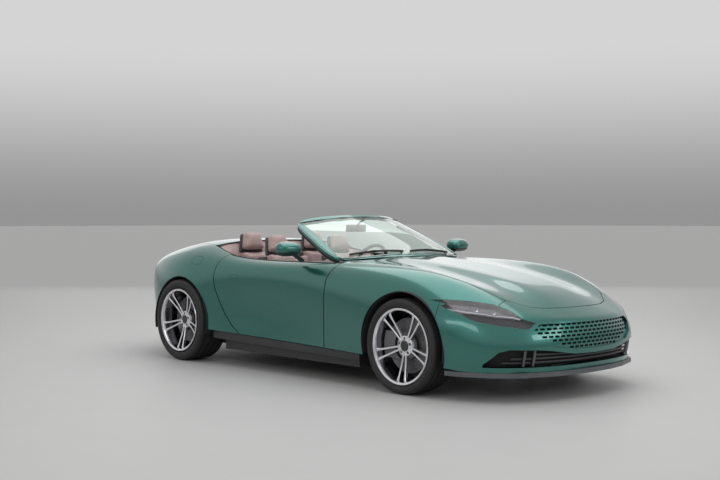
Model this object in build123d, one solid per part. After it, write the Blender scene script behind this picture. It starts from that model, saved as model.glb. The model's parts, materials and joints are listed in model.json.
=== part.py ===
from build123d import *
import math
import os

# Grand tourer, an open two-door four-seater. Millimetres and degrees.
# The origin is on the ground, midway between nose and tail; +X forward, +Y left, +Z up.

# Driving dimensions
overall_length = 4656
body_width = 1974
wheelbase = 2670
front_overhang = 988
rear_overhang = overall_length - wheelbase - front_overhang
front_axle_x = overall_length / 2 - front_overhang
rear_axle_x = front_axle_x - wheelbase

# The body lines below are drawn for this size, with X counted from the front axle.
drawn_wheelbase = 2670
drawn_front_overhang = 985.15
drawn_rear_overhang = 993.37
drawn_width = 1974

# Panels: wall thicknesses, and the gaps between one and the next
body_skin = 14
door_skin = 12
lid_skin = 22
panel_gap = 6
hinge_gap = 14
door_swing_gap = 3
lamp_depth = 60
lamp_seat = 0.4

# Sills and floor
sill_top_front = 248
sill_top_rear = 296
floor_bottom = 135
floor_top = 160
muffler_gap = 375

# Wheels
front_track = 1652
rear_track = 1679
front_tyre_radius = 337
rear_tyre_radius = 351
front_tyre_width = 245
rear_tyre_width = 285
rim_seat_radius = 254
rim_flange_radius = 271
front_rim_half = 114
rear_rim_half = 139
arch_clearance = 63
arch_drop = 12
spoke_count = 5
hub_radius = 78
hub_face = 52
shaft_radius = 30
shaft_clearance = 0.05

# Brakes, uprights and steering
disc_radius = 195
disc_inner = -14
disc_thickness = 34
disc_gap = 6
kingpin_inset = 46
kingpin_radius = 12
arm_thickness = 26
steering_wheel_y = 370
steering_wheel_radius = 182
steer_tilt = 24
column_radius = 24

# Hinges
bonnet_hinge_z = 868
bonnet_pin_radius = 7
hinge_ear_radius = 11
hinge_pin_radius = 7
hinge_heights = (420, 700)
neck_reach = 115
lid_pin_radius = 2.2
lid_pin_reach = 80

# Seats and trim
seat_y = 360
back_thickness = 120
headrest_height = 180
rear_side_y = 596

# Outlines of the panels, as drawn: plan (x, y), side (x, z) or front (y, z)
bonnet_rear = [(-715, 0), (-735, -300), (-790, -560)]
bonnet_side = [(-835, -708), (-400, -705), (-44, -692), (200, -682), (433, -630), (585, -580), (634, -556)]
bonnet_front = [(665, -522), (742, -440), (796, -317), (826, -197), (840, -80)]
deck_front = -2500
deck_split = -2885
tonneau_side = 660
boot_side_front = 610
boot_side_rear = 455
boot_rear = [(-3628, 0), (-3623, 160), (-3604, 320), (-3550, 455)]
belt_half = 782
lamp_top = [(241, -902, 677), (467, -799, 676), (626, -677, 653), (717, -623, 616), (811, -599, 560),
            (868, -522, 530)]
lamp_bottom = [(858, -594, 493), (757, -715, 514), (609, -827, 544), (511, -866, 587), (344, -897, 638),
               (385, -880, 655)]
grille_outline = [(-494, 524), (494, 524), (522, 508), (548, 486), (520, 426), (431, 372), (233, 350),
                  (0, 343), (-233, 350), (-431, 372), (-520, 426), (-548, 486), (-522, 508)]
mouth_outline = [(-818, 240), (-818, 262), (-764, 342), (-712, 361), (-537, 356), (-431, 345), (-233,
                                                                                                315),
                 (0, 310), (233, 315), (431, 345), (537, 356), (712, 361), (764, 342), (818, 262),
                 (818, 240)]
screen_rows = [
    [(-905, 745, 908), (-850, 560, 918), (-790, 300, 930), (-770, 0, 934)],
    [(-1240, 690, 1080), (-1175, 520, 1105), (-1105, 280, 1125), (-1085, 0, 1130)],
    [(-1570, 605, 1205), (-1470, 460, 1243), (-1395, 250, 1262), (-1375, 0, 1266)],
]


def along(x):
    """Real X of a drawn station."""
    if x > 0:
        return front_axle_x + x * front_overhang / drawn_front_overhang
    if x > -drawn_wheelbase:
        return front_axle_x + x * wheelbase / drawn_wheelbase
    return rear_axle_x + (x + drawn_wheelbase) * rear_overhang / drawn_rear_overhang


def across(y):
    """Real Y of a drawn half-breadth."""
    return y * body_width / drawn_width


# Body lines: (station, half-breadth, height), from the tail to the nose.
side_lines = [
    # sill
    [(-3300, 760, 330), (-3240, 815, 320), (-3120, 885, 300), (-2930, 945, 280), (-2670, 965, 265),
     (-2400, 955, 250), (-2050, 940, 240), (-1650, 925, 235), (-1250, 915, 225), (-850, 915, 215),
     (-450, 925, 205), (-100, 935, 200), (150, 935, 210), (320, 930, 220), (420, 915, 225)],
    # rocker
    [(-3330, 760, 420), (-3260, 820, 410), (-3130, 895, 390), (-2930, 955, 375), (-2670, 980, 365),
     (-2400, 960, 355), (-2050, 930, 345), (-1650, 915, 335), (-1250, 910, 325), (-850, 915, 320),
     (-450, 935, 315), (-100, 955, 310), (150, 955, 310), (320, 945, 310), (430, 925, 315)],
    # lower flank
    [(-3360, 760, 520), (-3280, 825, 510), (-3140, 905, 500), (-2930, 965, 490), (-2670, 990, 485),
     (-2400, 965, 475), (-2050, 915, 465), (-1650, 900, 455), (-1250, 900, 445), (-850, 915, 440),
     (-450, 945, 435), (-100, 968, 430), (150, 968, 430), (320, 955, 420), (440, 930, 420)],
    # middle flank
    [(-3400, 750, 630), (-3310, 820, 630), (-3150, 900, 630), (-2930, 965, 630), (-2670, 992, 620),
     (-2400, 965, 610), (-2050, 915, 600), (-1650, 900, 590), (-1250, 900, 580), (-850, 920, 575),
     (-450, 950, 570), (-100, 968, 560), (150, 965, 550), (320, 950, 530), (450, 925, 510)],
    # upper flank
    [(-3440, 720, 730), (-3340, 790, 750), (-3170, 870, 770), (-2930, 935, 785), (-2670, 965, 785),
     (-2400, 950, 765), (-2050, 925, 740), (-1650, 915, 730), (-1250, 910, 720), (-850, 920, 715),
     (-450, 940, 715), (-100, 945, 700), (150, 935, 675), (340, 915, 635), (500, 885, 585)],
    # shoulder
    [(-3500, 660, 800), (-3380, 730, 845), (-3190, 800, 885), (-2930, 860, 920), (-2670, 890, 935),
     (-2400, 890, 910), (-2050, 895, 865), (-1650, 895, 850), (-1250, 890, 845), (-850, 885, 845),
     (-450, 880, 845), (-100, 870, 825), (170, 855, 785), (400, 820, 715), (660, 775, 590)],
    # crest of the wings
    [(-3570, 540, 840), (-3430, 580, 895), (-3210, 630, 950), (-2930, 670, 1000), (-2670, 710, 1030),
     (-2400, 750, 990), (-2050, 790, 915), (-1650, 800, 895), (-1250, 800, 900), (-850, 780, 910),
     (-450, 740, 910), (-100, 720, 900), (200, 700, 860), (520, 660, 755), (820, 600, 567)],
    # valley beside the bonnet's dome
    [(-3630, 320, 855), (-3480, 340, 910), (-3230, 360, 975), (-2930, 370, 1030), (-2670, 400, 1060),
     (-2400, 420, 1030), (-2050, 440, 955), (-1650, 460, 930), (-1250, 460, 930), (-850, 460, 915),
     (-450, 460, 885), (-100, 460, 840), (230, 450, 780), (600, 420, 695), (900, 400, 555)],
    # edge of the dome
    [(-3645, 160, 860), (-3495, 170, 914), (-3240, 180, 980), (-2930, 180, 1035), (-2670, 200, 1065),
     (-2400, 210, 1030), (-2050, 220, 960), (-1650, 230, 940), (-1250, 230, 945), (-850, 240, 940),
     (-450, 250, 915), (-100, 250, 875), (250, 240, 820), (640, 220, 735), (950, 200, 550)],
    # centre line
    [(-3650, 0, 860), (-3500, 0, 915), (-3240, 0, 980), (-2930, 0, 1035), (-2670, 0, 1065),
     (-2400, 0, 1030), (-2050, 0, 960), (-1650, 0, 940), (-1250, 0, 945), (-850, 0, 938),
     (-450, 0, 910), (-100, 0, 870), (260, 0, 815), (660, 0, 730), (965, 0, 548)],
]
# Front fascia: rows from the crease down to the lip, each from the right arch round to the centre.
nose_lines = [
    [(450, 925, 510), (500, 885, 585), (660, 775, 590), (820, 600, 567), (900, 400, 555), (950, 200, 550),
     (965, 0, 548)],
    [(410, 930, 450), (520, 900, 500), (675, 815, 500), (865, 640, 485), (950, 410, 475), (980, 205, 470),
     (990, 0, 470)],
    [(400, 930, 380), (520, 900, 400), (680, 830, 400), (875, 655, 395), (960, 415, 390), (988, 210, 390),
     (994, 0, 390)],
    [(395, 925, 300), (510, 900, 300), (695, 825, 300), (865, 650, 300), (945, 415, 300), (975, 210, 300),
     (982, 0, 300)],
    [(390, 915, 215), (500, 885, 205), (680, 805, 205), (840, 645, 200), (925, 410, 200), (955, 210, 200),
     (962, 0, 200)],
]
# Rear fascia: columns' rows from the deck edge down to the bumper's lower edge, corner to centre.
tail_lines = [
    [(-3400, 750, 630), (-3440, 720, 730), (-3500, 660, 800), (-3570, 540, 840), (-3630, 320, 855),
     (-3645, 160, 860), (-3650, 0, 860)],
    [(-3385, 757, 575), (-3460, 720, 660), (-3525, 650, 720), (-3575, 540, 755), (-3610, 330, 770),
     (-3620, 160, 775), (-3625, 0, 775)],
    [(-3370, 762, 520), (-3465, 715, 580), (-3540, 640, 620), (-3605, 540, 650), (-3645, 330, 660),
     (-3655, 170, 660), (-3660, 0, 660)],
    [(-3355, 762, 460), (-3455, 710, 500), (-3535, 630, 520), (-3610, 530, 540), (-3655, 330, 545),
     (-3665, 170, 545), (-3670, 0, 545)],
    [(-3335, 760, 395), (-3430, 705, 420), (-3510, 630, 430), (-3585, 530, 430), (-3630, 330, 435),
     (-3640, 170, 435), (-3645, 0, 435)],
    [(-3300, 760, 330), (-3390, 700, 345), (-3465, 620, 350), (-3540, 520, 350), (-3585, 320, 355),
     (-3595, 160, 355), (-3600, 0, 355)],
]


def real_line(line):
    return [(along(x), -across(y), z) for x, y, z in line]


def mirrored(row):
    """A row of points from the right side to the centre line, continued to the left side."""
    return row + [(x, -y, z) for x, y, z in reversed(row[:-1])]


body_net = [mirrored(list(row)) for row in zip(*[real_line(line) for line in side_lines])]
nose_net = [mirrored(real_line(line)) for line in nose_lines]
tail_net = [mirrored(real_line(line)) for line in tail_lines]


def spline_weights(t, count):
    """Uniform cubic spline weights at t, with the ends carried on straight."""
    first = min(int(t), count - 2)
    s = t - first
    weights = {}
    basis = ((1 - s) ** 3, 3 * s**3 - 6 * s**2 + 4, 3 * s * (1 + s - s**2) + 1, s**3)
    for place, value in zip(range(first - 1, first + 3), basis):
        if place < 0:
            shares = ((0, 2), (1, -1))
        elif place >= count:
            shares = ((count - 1, 2), (count - 2, -1))
        else:
            shares = ((place, 1),)
        for index, share in shares:
            weights[index] = weights.get(index, 0) + share * value / 6
    return weights


def net_point(net, u, v):
    total = Vector(0, 0, 0)
    across_weights = spline_weights(v, len(net[0]))
    for row, row_weight in spline_weights(u, len(net)).items():
        for column, column_weight in across_weights.items():
            total += Vector(*net[row][column]) * (row_weight * column_weight)
    return total


def net_normal(net, u, v):
    h = 0.02
    du = net_point(net, min(u + h, len(net) - 1), v) - net_point(net, max(u - h, 0), v)
    dv = net_point(net, u, min(v + h, len(net[0]) - 1)) - net_point(net, u, max(v - h, 0))
    return du.cross(dv).normalized()


def spread(low, high, per_span):
    count = max(2, round((high - low) * per_span) + 1)
    return [low + (high - low) * i / (count - 1) for i in range(count)]


def slab(outer, inner):
    """Closed solid between two grids of points of the same shape."""
    faces = [Face.make_surface_from_array_of_points(grid, 0.2, None, 3, 5) for grid in (outer, inner)]
    inner_edges = list(faces[1].edges())
    for edge in faces[0].edges():
        mate = min(inner_edges, key=lambda other: (other.center() - edge.center()).length)
        faces.append(Face.make_surface_from_curves(edge, mate))
    return Solid(Shell(faces))


def skin(net, u_range, v_range, depth, facing=1, per_span=3):
    """Part of a net as a wall of the given depth, measured inwards."""
    us = spread(*u_range, per_span)
    vs = spread(*v_range, per_span)
    outer = [[net_point(net, u, v) for v in vs] for u in us]
    inner = [[net_point(net, u, v) - net_normal(net, u, v) * (facing * depth) for v in vs] for u in us]
    return slab(outer, inner)


def flip(shape):
    """The same piece on the other side of the car."""
    return shape.mirror(Plane.XZ)


def only_solid(shape, keep=1):
    """The largest solids of a boolean's result."""
    solids = sorted(shape.solids(), key=lambda solid: -solid.volume)[:keep]
    return solids[0] if keep == 1 else Compound(solids)


def plan_prism(points, low, high):
    """Vertical prism on a plan outline."""
    face = Plane.XY.offset(low) * make_face(Polyline(*points, close=True))
    return extrude(face, high - low)


def side_prism(points, near, far):
    """Prism along Y on an outline of (x, z)."""
    outline = Polyline(*[(x, near, z) for x, z in points], close=True)
    return extrude(make_face(outline), far - near, dir=(0, 1, 0))


def front_prism(points, rear, front):
    """Prism along X on an outline of (y, z)."""
    outline = Polyline(*[(rear, y, z) for y, z in points], close=True)
    return extrude(make_face(outline), front - rear, dir=(1, 0, 0))


def block(*ranges):
    """Box from its X, Y and Z ranges."""
    size = [abs(end - start) for start, end in ranges]
    middle = [(start + end) / 2 for start, end in ranges]
    return Pos(*middle) * Box(*size)


def drum(radius, y_range, x, z):
    """Cylinder along Y."""
    length = abs(y_range[1] - y_range[0])
    return Pos(x, sum(y_range) / 2, z) * Rot(90, 0, 0) * Cylinder(radius, length)


def sill_top(x):
    """Height of the black sill's upper edge, which rises to the rear."""
    share = (x + 380) / (-2248 + 380)
    return sill_top_front + (sill_top_rear - sill_top_front) * share


def door_outline(grow=0):
    line = [(along(x) + grow, z) for x, z in door_front_line]
    line[-1] = (line[-1][0], line[-1][1] - grow)
    rear = [(along(x) - grow, z - 0.6 * grow) for x, z in door_rear_line]
    return line + rear


def bonnet_outline(grow=0):
    rear = [(along(x) - grow, across(y)) for x, y in bonnet_rear]
    right = [(along(x), across(y) - grow) for x, y in bonnet_side]
    right[0] = (right[0][0] - grow, right[0][1])
    right[-1] = (right[-1][0] + grow * 0.7, right[-1][1] - grow * 0.3)
    right += [(along(x) + grow, across(y)) for x, y in bonnet_front]
    return rear + right + [(x, -y) for x, y in reversed(right)] + [(x, -y) for x, y in reversed(rear[1:])]


def mirrored_outline(right):
    return right + [(x, -y) for x, y in reversed(right)]


def tonneau_outline(grow=0):
    front, rear = along(deck_front) + grow, along(deck_split) - grow
    return mirrored_outline([(rear, -across(tonneau_side) - grow), (front, -across(tonneau_side + 20)
                                                                    - grow)])


def boot_outline(grow=0):
    front = along(deck_split) - hinge_gap + grow
    rear = [(along(x) - grow, -across(y)) for x, y in boot_rear]
    corner = (along(-3530), -across(boot_side_rear + 10) - grow)
    return mirrored_outline(rear + [corner, (front, -across(boot_side_front) - 2.6 * grow)])


def arch(axle_x, centre_z, radius):
    """Right-hand wheel opening, as a cutter through the side."""
    return drum(radius, (-1200, -500), axle_x, centre_z)


def lamp_prism(grow=0):
    """Cutter for the right headlamp, looking square on to the front corner."""
    corners = []
    for x, y, z in lamp_top + lamp_bottom:
        local = lamp_plane.to_local_coords(Vector(along(x), across(y), z))
        corners.append((local.X, local.Y))
    face = make_face(Polyline(*corners, close=True))
    if grow:
        face = offset(face, grow, kind=Kind.INTERSECTION)
    placed = lamp_plane * face
    return extrude(placed, 1400, dir=(0.70, -0.71, 0))


def body_region(u_range, v_range, depth):
    return skin(body_net, u_range, v_range, depth)


def make_bonnet():
    panel = body_region((7.6, 14), (4.8, 13.2), 18) & plan_prism(bonnet_outline(), 300, 1200)
    for side in (-1, 1):
        y = side * across(600)
        panel += block((bonnet_hinge_x - 12, bonnet_hinge_x + 12), (y - 10, y + 10),
                       (bonnet_hinge_z - 12, bonnet_hinge_z + 22))
        panel += drum(bonnet_pin_radius, (y - 30, y + 30), bonnet_hinge_x, bonnet_hinge_z)
    return only_solid(panel)


def below_sill(y_near, y_far):
    """Everything under the slanted edge where the wings stand on the sill."""
    drop = panel_gap - 0.3
    points = [(along(x), sill_top(x) - drop) for x in (-3300, 1100)] + [(along(1100), 0), (along(-3300), 0)]
    return side_prism(points, y_near, y_far)


def make_front_wing():
    wing = body_region((8.2, 14), (0, 7), body_skin)
    wing -= side_prism(door_outline(panel_gap + door_swing_gap), -1100, -700)
    wing -= block((along(-3000), along(-845)), (-1100, -300), (100, 1200))
    wing -= plan_prism(bonnet_outline(panel_gap), 300, 1200)
    wing -= arch(front_arch_x, front_arch_z, front_arch_radius)
    wing -= below_sill(-1100, -500) & block((along(-900), along(0)), (-1100, -500), (0, 600))
    wing -= block((along(200), along(1100)), (-1100, -200), (0, 470))
    wing -= plan_prism([(along(634), across(-556)), (along(652), across(-660)), (along(700), across(-700)),
                        (along(1100), across(-700)), (along(1100), 0), (along(634), 0)], 300, 900)
    wing -= lamp_prism(lamp_seat)
    wing -= skin(nose_net, (0, 4), (0, 6), body_skin)
    return only_solid(wing)


def make_front_bumper():
    nose = skin(nose_net, (0, 4), (0, 12), body_skin)
    panel = body_region((12, 14), (4.5, 13.5), body_skin)
    right = [(along(637), across(-560)), (along(655), across(-662)), (along(760), across(-760)),
             (along(1100), across(-760))]
    panel &= plan_prism(mirrored_outline(right), 300, 900)
    panel -= plan_prism(bonnet_outline(panel_gap), 300, 1200)
    bumper = nose + panel
    bumper -= lamp_prism(lamp_seat)
    bumper -= flip(lamp_prism(lamp_seat))
    bumper -= front_prism([(across(y), z) for y, z in grille_outline], along(600), along(1200))
    bumper -= front_prism([(across(y), z) for y, z in mouth_outline], along(600), along(1200))
    bumper -= arch(front_arch_x, front_arch_z, front_arch_radius)
    bumper -= flip(arch(front_arch_x, front_arch_z, front_arch_radius))
    return bumper


def make_headlamps():
    source = skin(nose_net, (0, 4), (0, 6), lamp_depth) + body_region((10, 14), (3, 8), lamp_depth)
    lamp = only_solid((source & lamp_prism()) - arch(front_arch_x, front_arch_z, front_arch_radius + 3))
    return [lamp, flip(lamp)]


def make_grille():
    setback = body_skin + 0.3
    us, vs = spread(0, 4, 3), spread(0, 12, 3)
    outer = [[net_point(nose_net, u, v) - net_normal(nose_net, u, v) * setback for v in vs] for u in us]
    inner = [[net_point(nose_net, u, v) - net_normal(nose_net, u, v)
              * (setback + 12) for v in vs] for u in us]
    plate = slab(outer, inner)
    wide = [(across(y * 1.03), z + (8 if z > 480 else -8)) for y, z in grille_outline]
    mouth = [(across(y * 0.97), z + (4 if z > 300 else 0)) for y, z in mouth_outline]
    upper = plate & front_prism(wide, along(600), along(1200))
    lower = plate & front_prism(mouth, along(600), along(1200))
    return (upper + lower) - lamp_prism(lamp_seat) - flip(lamp_prism(lamp_seat))


def make_front_splitter(front_bumper, floor):
    rim = [(along(390), -905), (along(520), -880), (along(680), -800), (along(845), -645), (along(930),
                                                                                            -410),
           (along(968), -210)]
    right = [(x, across(y)) for x, y in rim]
    front = right + [(along(980), 0)] + [(x, -y) for x, y in reversed(right)]
    outline = [(along(430), across(-560))] + front + [(along(430), across(560))]
    return only_solid(plan_prism(outline, 172, 204) - front_bumper - floor)


def make_door():
    """Right door: outer skin, inner shell and the two swan-neck hinge arms with their pin."""
    outer = body_region((4, 11), (0, 7), door_skin)
    door = outer & side_prism(door_outline(), -1100, -across(belt_half))
    us, vs = spread(4, 11, 3), spread(0, 5.2, 3)
    near = [[net_point(body_net, u, v) - net_normal(body_net, u, v)
             * (door_skin - 1) for v in vs] for u in us]
    far = [[Vector(p.X, -across(belt_half - 26), p.Z) for p in row] for row in near]
    inner_front, inner_rear = along(-860), along(-1990)
    points = [(inner_front, 300), (inner_rear + 110, 300), (inner_rear, 520), (inner_rear, 850),
              (inner_front, 850)]
    door += slab(near, far) & side_prism(points, -1100, -600)
    inner_y = hinge_y + neck_reach
    for z in hinge_heights:
        arm = block((hinge_x - 12, hinge_x + 12), (hinge_y - 12, inner_y + 10), (z - 18, z + 18))
        arm += block((along(-875), hinge_x + 12), (inner_y - 10, inner_y + 10), (z - 18, z + 18))
        door += arm
    door += Pos(hinge_x, hinge_y, sum(hinge_heights) / 2) * Cylinder(hinge_pin_radius, 260)
    return only_solid(door)


def make_rear_quarter():
    quarter = body_region((0, 9), (0, 8), body_skin)
    quarter -= side_prism(door_outline(panel_gap + door_swing_gap / 2), -1100, -600)
    quarter -= block((along(-1850), along(500)), (-1100, 0), (100, 1200))
    quarter -= plan_prism(tonneau_outline(panel_gap), 300, 1300)
    quarter -= plan_prism(boot_outline(panel_gap), 300, 1300)
    slot_side = across(tonneau_side) + panel_gap
    quarter -= block((along(deck_split) - hinge_gap, along(deck_split)), (-slot_side, 0), (300, 1300))
    quarter -= plan_prism([(along(-2510), across(-300)), (along(-2510), across(-694)), (along(-2300),
                                                                                        across(-748)),
                           (along(-2100), across(-belt_half)), (along(-1700), across(-belt_half)),
                           (along(-1700), across(-300))], 300, 1300)
    quarter -= arch(rear_axle_x, rear_arch_z, rear_arch_radius)
    quarter -= below_sill(-1200, -500) & block((along(-2700), along(-1700)), (-1200, -500), (0, 600))
    return only_solid(quarter)


def lid_hinge(x, edge_x):
    """Small pin at deck level with the tab that joins it to its lid's edge."""
    pin = drum(lid_pin_radius, (-lid_pin_reach, lid_pin_reach), x, deck_hinge_z)
    tab = block(sorted((x, edge_x)), (-36, 36), (deck_hinge_z - 2, deck_hinge_z + 2))
    return pin + tab


def make_tonneau():
    lid = only_solid(body_region((0, 8), (5, 13), lid_skin) & plan_prism(tonneau_outline(), 300, 1300))
    return lid + lid_hinge(tonneau_hinge_x, along(deck_split) + 2)


def make_boot_lid():
    lid = only_solid(body_region((0, 6), (5, 13), lid_skin) & plan_prism(boot_outline(), 300, 1300))
    return lid + lid_hinge(boot_hinge_x, along(deck_split) - hinge_gap - 2)


def make_rear_bumper(quarter):
    bumper = skin(tail_net, (0, 5), (0, 12), body_skin, -1)
    for cutter in tail_lamp_cutters(lamp_seat):
        bumper -= cutter
    bumper -= quarter
    bumper -= flip(quarter)
    bumper -= body_region((0, 2), (3, 15), lid_skin + panel_gap) & plan_prism(boot_outline(panel_gap),
                                                                              300, 1300)
    return only_solid(bumper)


def tail_lamp_cutters(grow=0):
    span = (across(350) - grow, across(640) + grow)
    heights = (728 - grow, 782 + grow)
    right = block((along(-3800), along(-3200)), (-span[1], -span[0]), heights)
    return [right, flip(right)]


def make_tail_lamps():
    source = skin(tail_net, (0, 5), (0, 12), 40, -1)
    return [only_solid(source & cutter) for cutter in tail_lamp_cutters()]


def make_rear_diffuser(rear_bumper):
    points = [(along(-3592), 366), (along(-3560), 250), (along(-3150), 160), (along(-3150), 190),
              (along(-3500), 345), (along(-3560), 366)]
    return only_solid(side_prism(points, 0.3 - across(muffler_gap), across(muffler_gap) - 0.3)
                      - rear_bumper)


def make_exhaust():
    """Cross box with a pair of tips at each end."""
    exhaust = block((along(-3400), along(-3140)), (-across(580), across(580)), (262, 340))
    exhaust -= block((along(-3500), along(-3100)), (-across(muffler_gap), across(muffler_gap)), (0, 318))
    for y in (-520, -420, 420, 520):
        tip = Pos(along(-3495), across(y), 300) * Rot(0, 90, 0)
        exhaust += tip * (Cylinder(38, 210) - Pos(0, 0, -20) * Cylinder(34, 200))
    return exhaust


def make_floor(front_bumper):
    half_front, half_mid, half_rear = 480, 760, 605
    right = [(along(-3120), -half_rear), (along(-2250), -half_rear), (along(-2200), -half_mid),
             (along(-480), -half_mid), (along(-430), -half_front), (along(700), -half_front)]
    floor = plan_prism(mirrored_outline(right), floor_bottom, floor_top)
    for side in (-1, 1):
        floor += block((along(640), along(700)), (side * 370, side * 430), (floor_top, 430))
        floor += block((along(660), along(860)), (side * 640, side * 690), (388, 430))
    floor += block((along(660), along(700)), (-690, 690), (388, 430))
    return only_solid(floor - front_bumper)


def make_sills():
    """Black sill under each door, with the box section that carries the door opening."""
    skirt_top = [(along(x), sill_top(x) - panel_gap) for x in (-2240, -440)]
    skirt = [(along(-2240), 225)] + skirt_top + [(along(-440), 196)]
    right = side_prism(skirt, -across(912), -765)
    right += block((along(-2150), along(-500)), (-across(850), -760), (floor_bottom, 243))
    return [right, flip(right)]


def make_firewall(screen_frame):
    """Bulkhead with the cowl over it, the bonnet's hinge brackets and the posts that carry the doors."""
    wall = block((along(-905), along(-885)), (-across(745), across(745)), (160, 860))
    cowl = body_region((6.6, 9), (4.6, 13.4), 30) - body_region((6.6, 9), (4.6, 13.4), 12)
    front = [(along(x) - panel_gap, across(y)) for x, y in bonnet_rear]
    right = front + [(along(-835) - panel_gap, -across(738)), (along(-925), -across(738))]
    cowl &= plan_prism(right + [(x, -y) for x, y in reversed(right[1:])], 300, 1200)
    corner_reach = math.hypot(bonnet_hinge_x - along(-835), 22) + 5
    for side in (-1, 1):
        cowl -= drum(corner_reach, (side * across(560), side * across(760)), bonnet_hinge_x, bonnet_hinge_z)
    wall += cowl
    wall += block((along(-925), along(-885)), (-across(738), across(738)), (840, 880))
    hinge_arm = [(along(-885), 790), (bonnet_hinge_x + 8, 812), (bonnet_hinge_x + 8, bonnet_hinge_z),
                 (bonnet_hinge_x - 8, bonnet_hinge_z), (bonnet_hinge_x - 8, 842), (along(-885), 826)]
    for side in (-1, 1):
        for edge in (-24, 24):
            y = side * across(600) + edge
            plate = side_prism(hinge_arm, y - 6, y + 6) + drum(hinge_ear_radius, (y - 6, y + 6),
                                                               bonnet_hinge_x, bonnet_hinge_z)
            wall += plate - drum(bonnet_pin_radius + shaft_clearance, (y - 20, y + 20), bonnet_hinge_x,
                                 bonnet_hinge_z)
        post_y = (side * across(745), side * (across(708) + panel_gap + 2))
        wall += block((along(-905), hinge_x + 25), post_y, (160, 860))
        bracket_y = sorted((side * across(745), -side * (hinge_y - 15)))
        bracket = block((hinge_x - 22, hinge_x + 25), bracket_y, (hinge_heights[0] + 24,
                                                                  hinge_heights[1] - 24))
        bracket -= Pos(hinge_x, -side * hinge_y, 560) * Cylinder(hinge_pin_radius + shaft_clearance, 400)
        wall += bracket
    return only_solid(wall - tunnel_space - screen_frame)


def make_windscreen_frame():
    hoop = skin(screen_net, (0, 2), (0, 6), 30, -1, 8)
    return only_solid(hoop - screen_window(0))


def screen_window(shrink):
    corners = [(0.06, 0.28), (0.06, 5.72), (1.86, 5.76), (1.86, 0.24)]
    points = [net_point(screen_net, u, v) for u, v in corners]
    middle = net_point(screen_net, 0.06, 3)
    top = net_point(screen_net, 1.9, 3)
    outline = [(points[0].X, points[0].Y), (middle.X, 0), (points[1].X, points[1].Y), (points[2].X,
                                                                                       points[2].Y),
               (top.X, 0), (points[3].X, points[3].Y)]
    face = make_face(Polyline(*outline, close=True))
    if shrink:
        face = offset(face, -shrink, kind=Kind.INTERSECTION)
    return extrude(Plane.XY.offset(700) * face, 700)


def make_windscreen():
    return only_solid(skin(screen_net, (0, 2), (0, 6), 6, -1, 8) & screen_window(0.3))


def seat(front, back, width, cushion_height, lean, back_height):
    """A chair's cushion, leaning back and headrest as plain blocks."""
    y = -across(seat_y)
    cushion = block((back - 20, front), (y - width / 2, y + width / 2), (cushion_height - 150,
                                                                         cushion_height))
    foot = Pos(back, y, cushion_height - 60) * Rot(0, -lean, 0)
    rest = foot * Pos(0, 0, back_height / 2) * Box(back_thickness, width, back_height)
    head = foot * Pos(0, 0, back_height + headrest_height / 2 - 5) * Box(100, 250, headrest_height)
    return cushion + rest + head


def make_front_seat():
    base = block((along(-1820), along(-1440)), (-across(seat_y) - 170, -across(seat_y) + 170), (160, 340))
    return seat(along(-1385), along(-1850), 456, 480, 20, 560) + base


def make_rear_seat():
    right = seat(along(-2010), along(-2298), 430, 490, 12, 555)
    joining = block((along(-2400), along(-2030)), (-150, 150), (350, 640))
    plinth = block((along(-2330), along(-2030)), (-560, 560), (160, 350))
    return right + flip(right) + joining + plinth - tunnel_space


def make_dashboard():
    points = [(along(-925), 640), (along(-925), 880), (along(-1150), 900), (along(-1380), 870),
              (along(-1420), 760), (along(-1280), 620)]
    column = wheel_plane * (Pos(0, 0, -200) * Cylinder(column_radius + 0.3, 400))
    return side_prism(points, -across(740), across(740)) - column


def make_console():
    points = [(along(-925), 160), (along(-925), 600), (along(-1250), 600), (along(-1500), 560),
              (along(-2030), 540), (along(-2030), 160)]
    return side_prism(points, -118, 118) - tunnel_space


def make_cabin_trim():
    """Side panels beside the rear seat, stepping out over the wheel housings, and the wall behind it."""
    section = [(-rear_side_y, 160), (-rear_side_y, 775), (-740, 800), (-752, 872), (-730, 872), (-712, 815),
               (-rear_side_y + 18, 790), (-rear_side_y + 18, 160)]
    side = front_prism([(across(y), z) for y, z in section], along(-2560), along(-2225))
    wall = block((along(-2585), along(-2560)), (-across(rear_side_y), across(rear_side_y)), (530, 960))
    wall += block((along(-2585), along(-2560)), (-across(680), across(680)), (780, 960))
    return side + flip(side) + wall


def make_steering_wheel():
    ring = Torus(steering_wheel_radius, 15)
    hub = Cylinder(62, 44)
    spokes = Box(2 * steering_wheel_radius - 10, 30, 18) + Pos(0, 0, 0) * Box(30, 10, 18)
    lower = Pos(0, -steering_wheel_radius / 2, 0) * Box(34, steering_wheel_radius - 8, 18)
    column = Pos(0, 0, -150) * Cylinder(column_radius, 270)
    wheel = ring + hub + spokes + lower + column
    return wheel_plane * wheel


def make_boot_tub(rear_bumper):
    outer = block((along(-3480), along(-2840)), (-across(500), across(500)), (480, 860))
    inner = block((along(-3465), along(-2855)), (-across(485), across(485)), (495, 900))
    tub = outer - inner
    middle = along(deck_split) - hinge_gap / 2
    for side in (-1, 1):
        y = side * 58
        knuckle = block((boot_hinge_x - 3, tonneau_hinge_x + 3), (y - 15, y + 15), (840, deck_hinge_z
                                                                                    + 0.5))
        for x in (tonneau_hinge_x, boot_hinge_x):
            knuckle -= drum(lid_pin_radius + shaft_clearance, (y - 40, y + 40), x, deck_hinge_z)
        tub += knuckle
    for side in (-1, 1):
        tub += block((along(-2860), along(-2585)), (side * across(480), side * across(500)), (700, 850))
    tub += block((middle - 12, along(-2840)), (-100, 100), (820, 860))
    tub += block((along(-3475), along(-3640)), (-260, 260), (650, 690))
    return only_solid(tub - rear_bumper)


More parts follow.
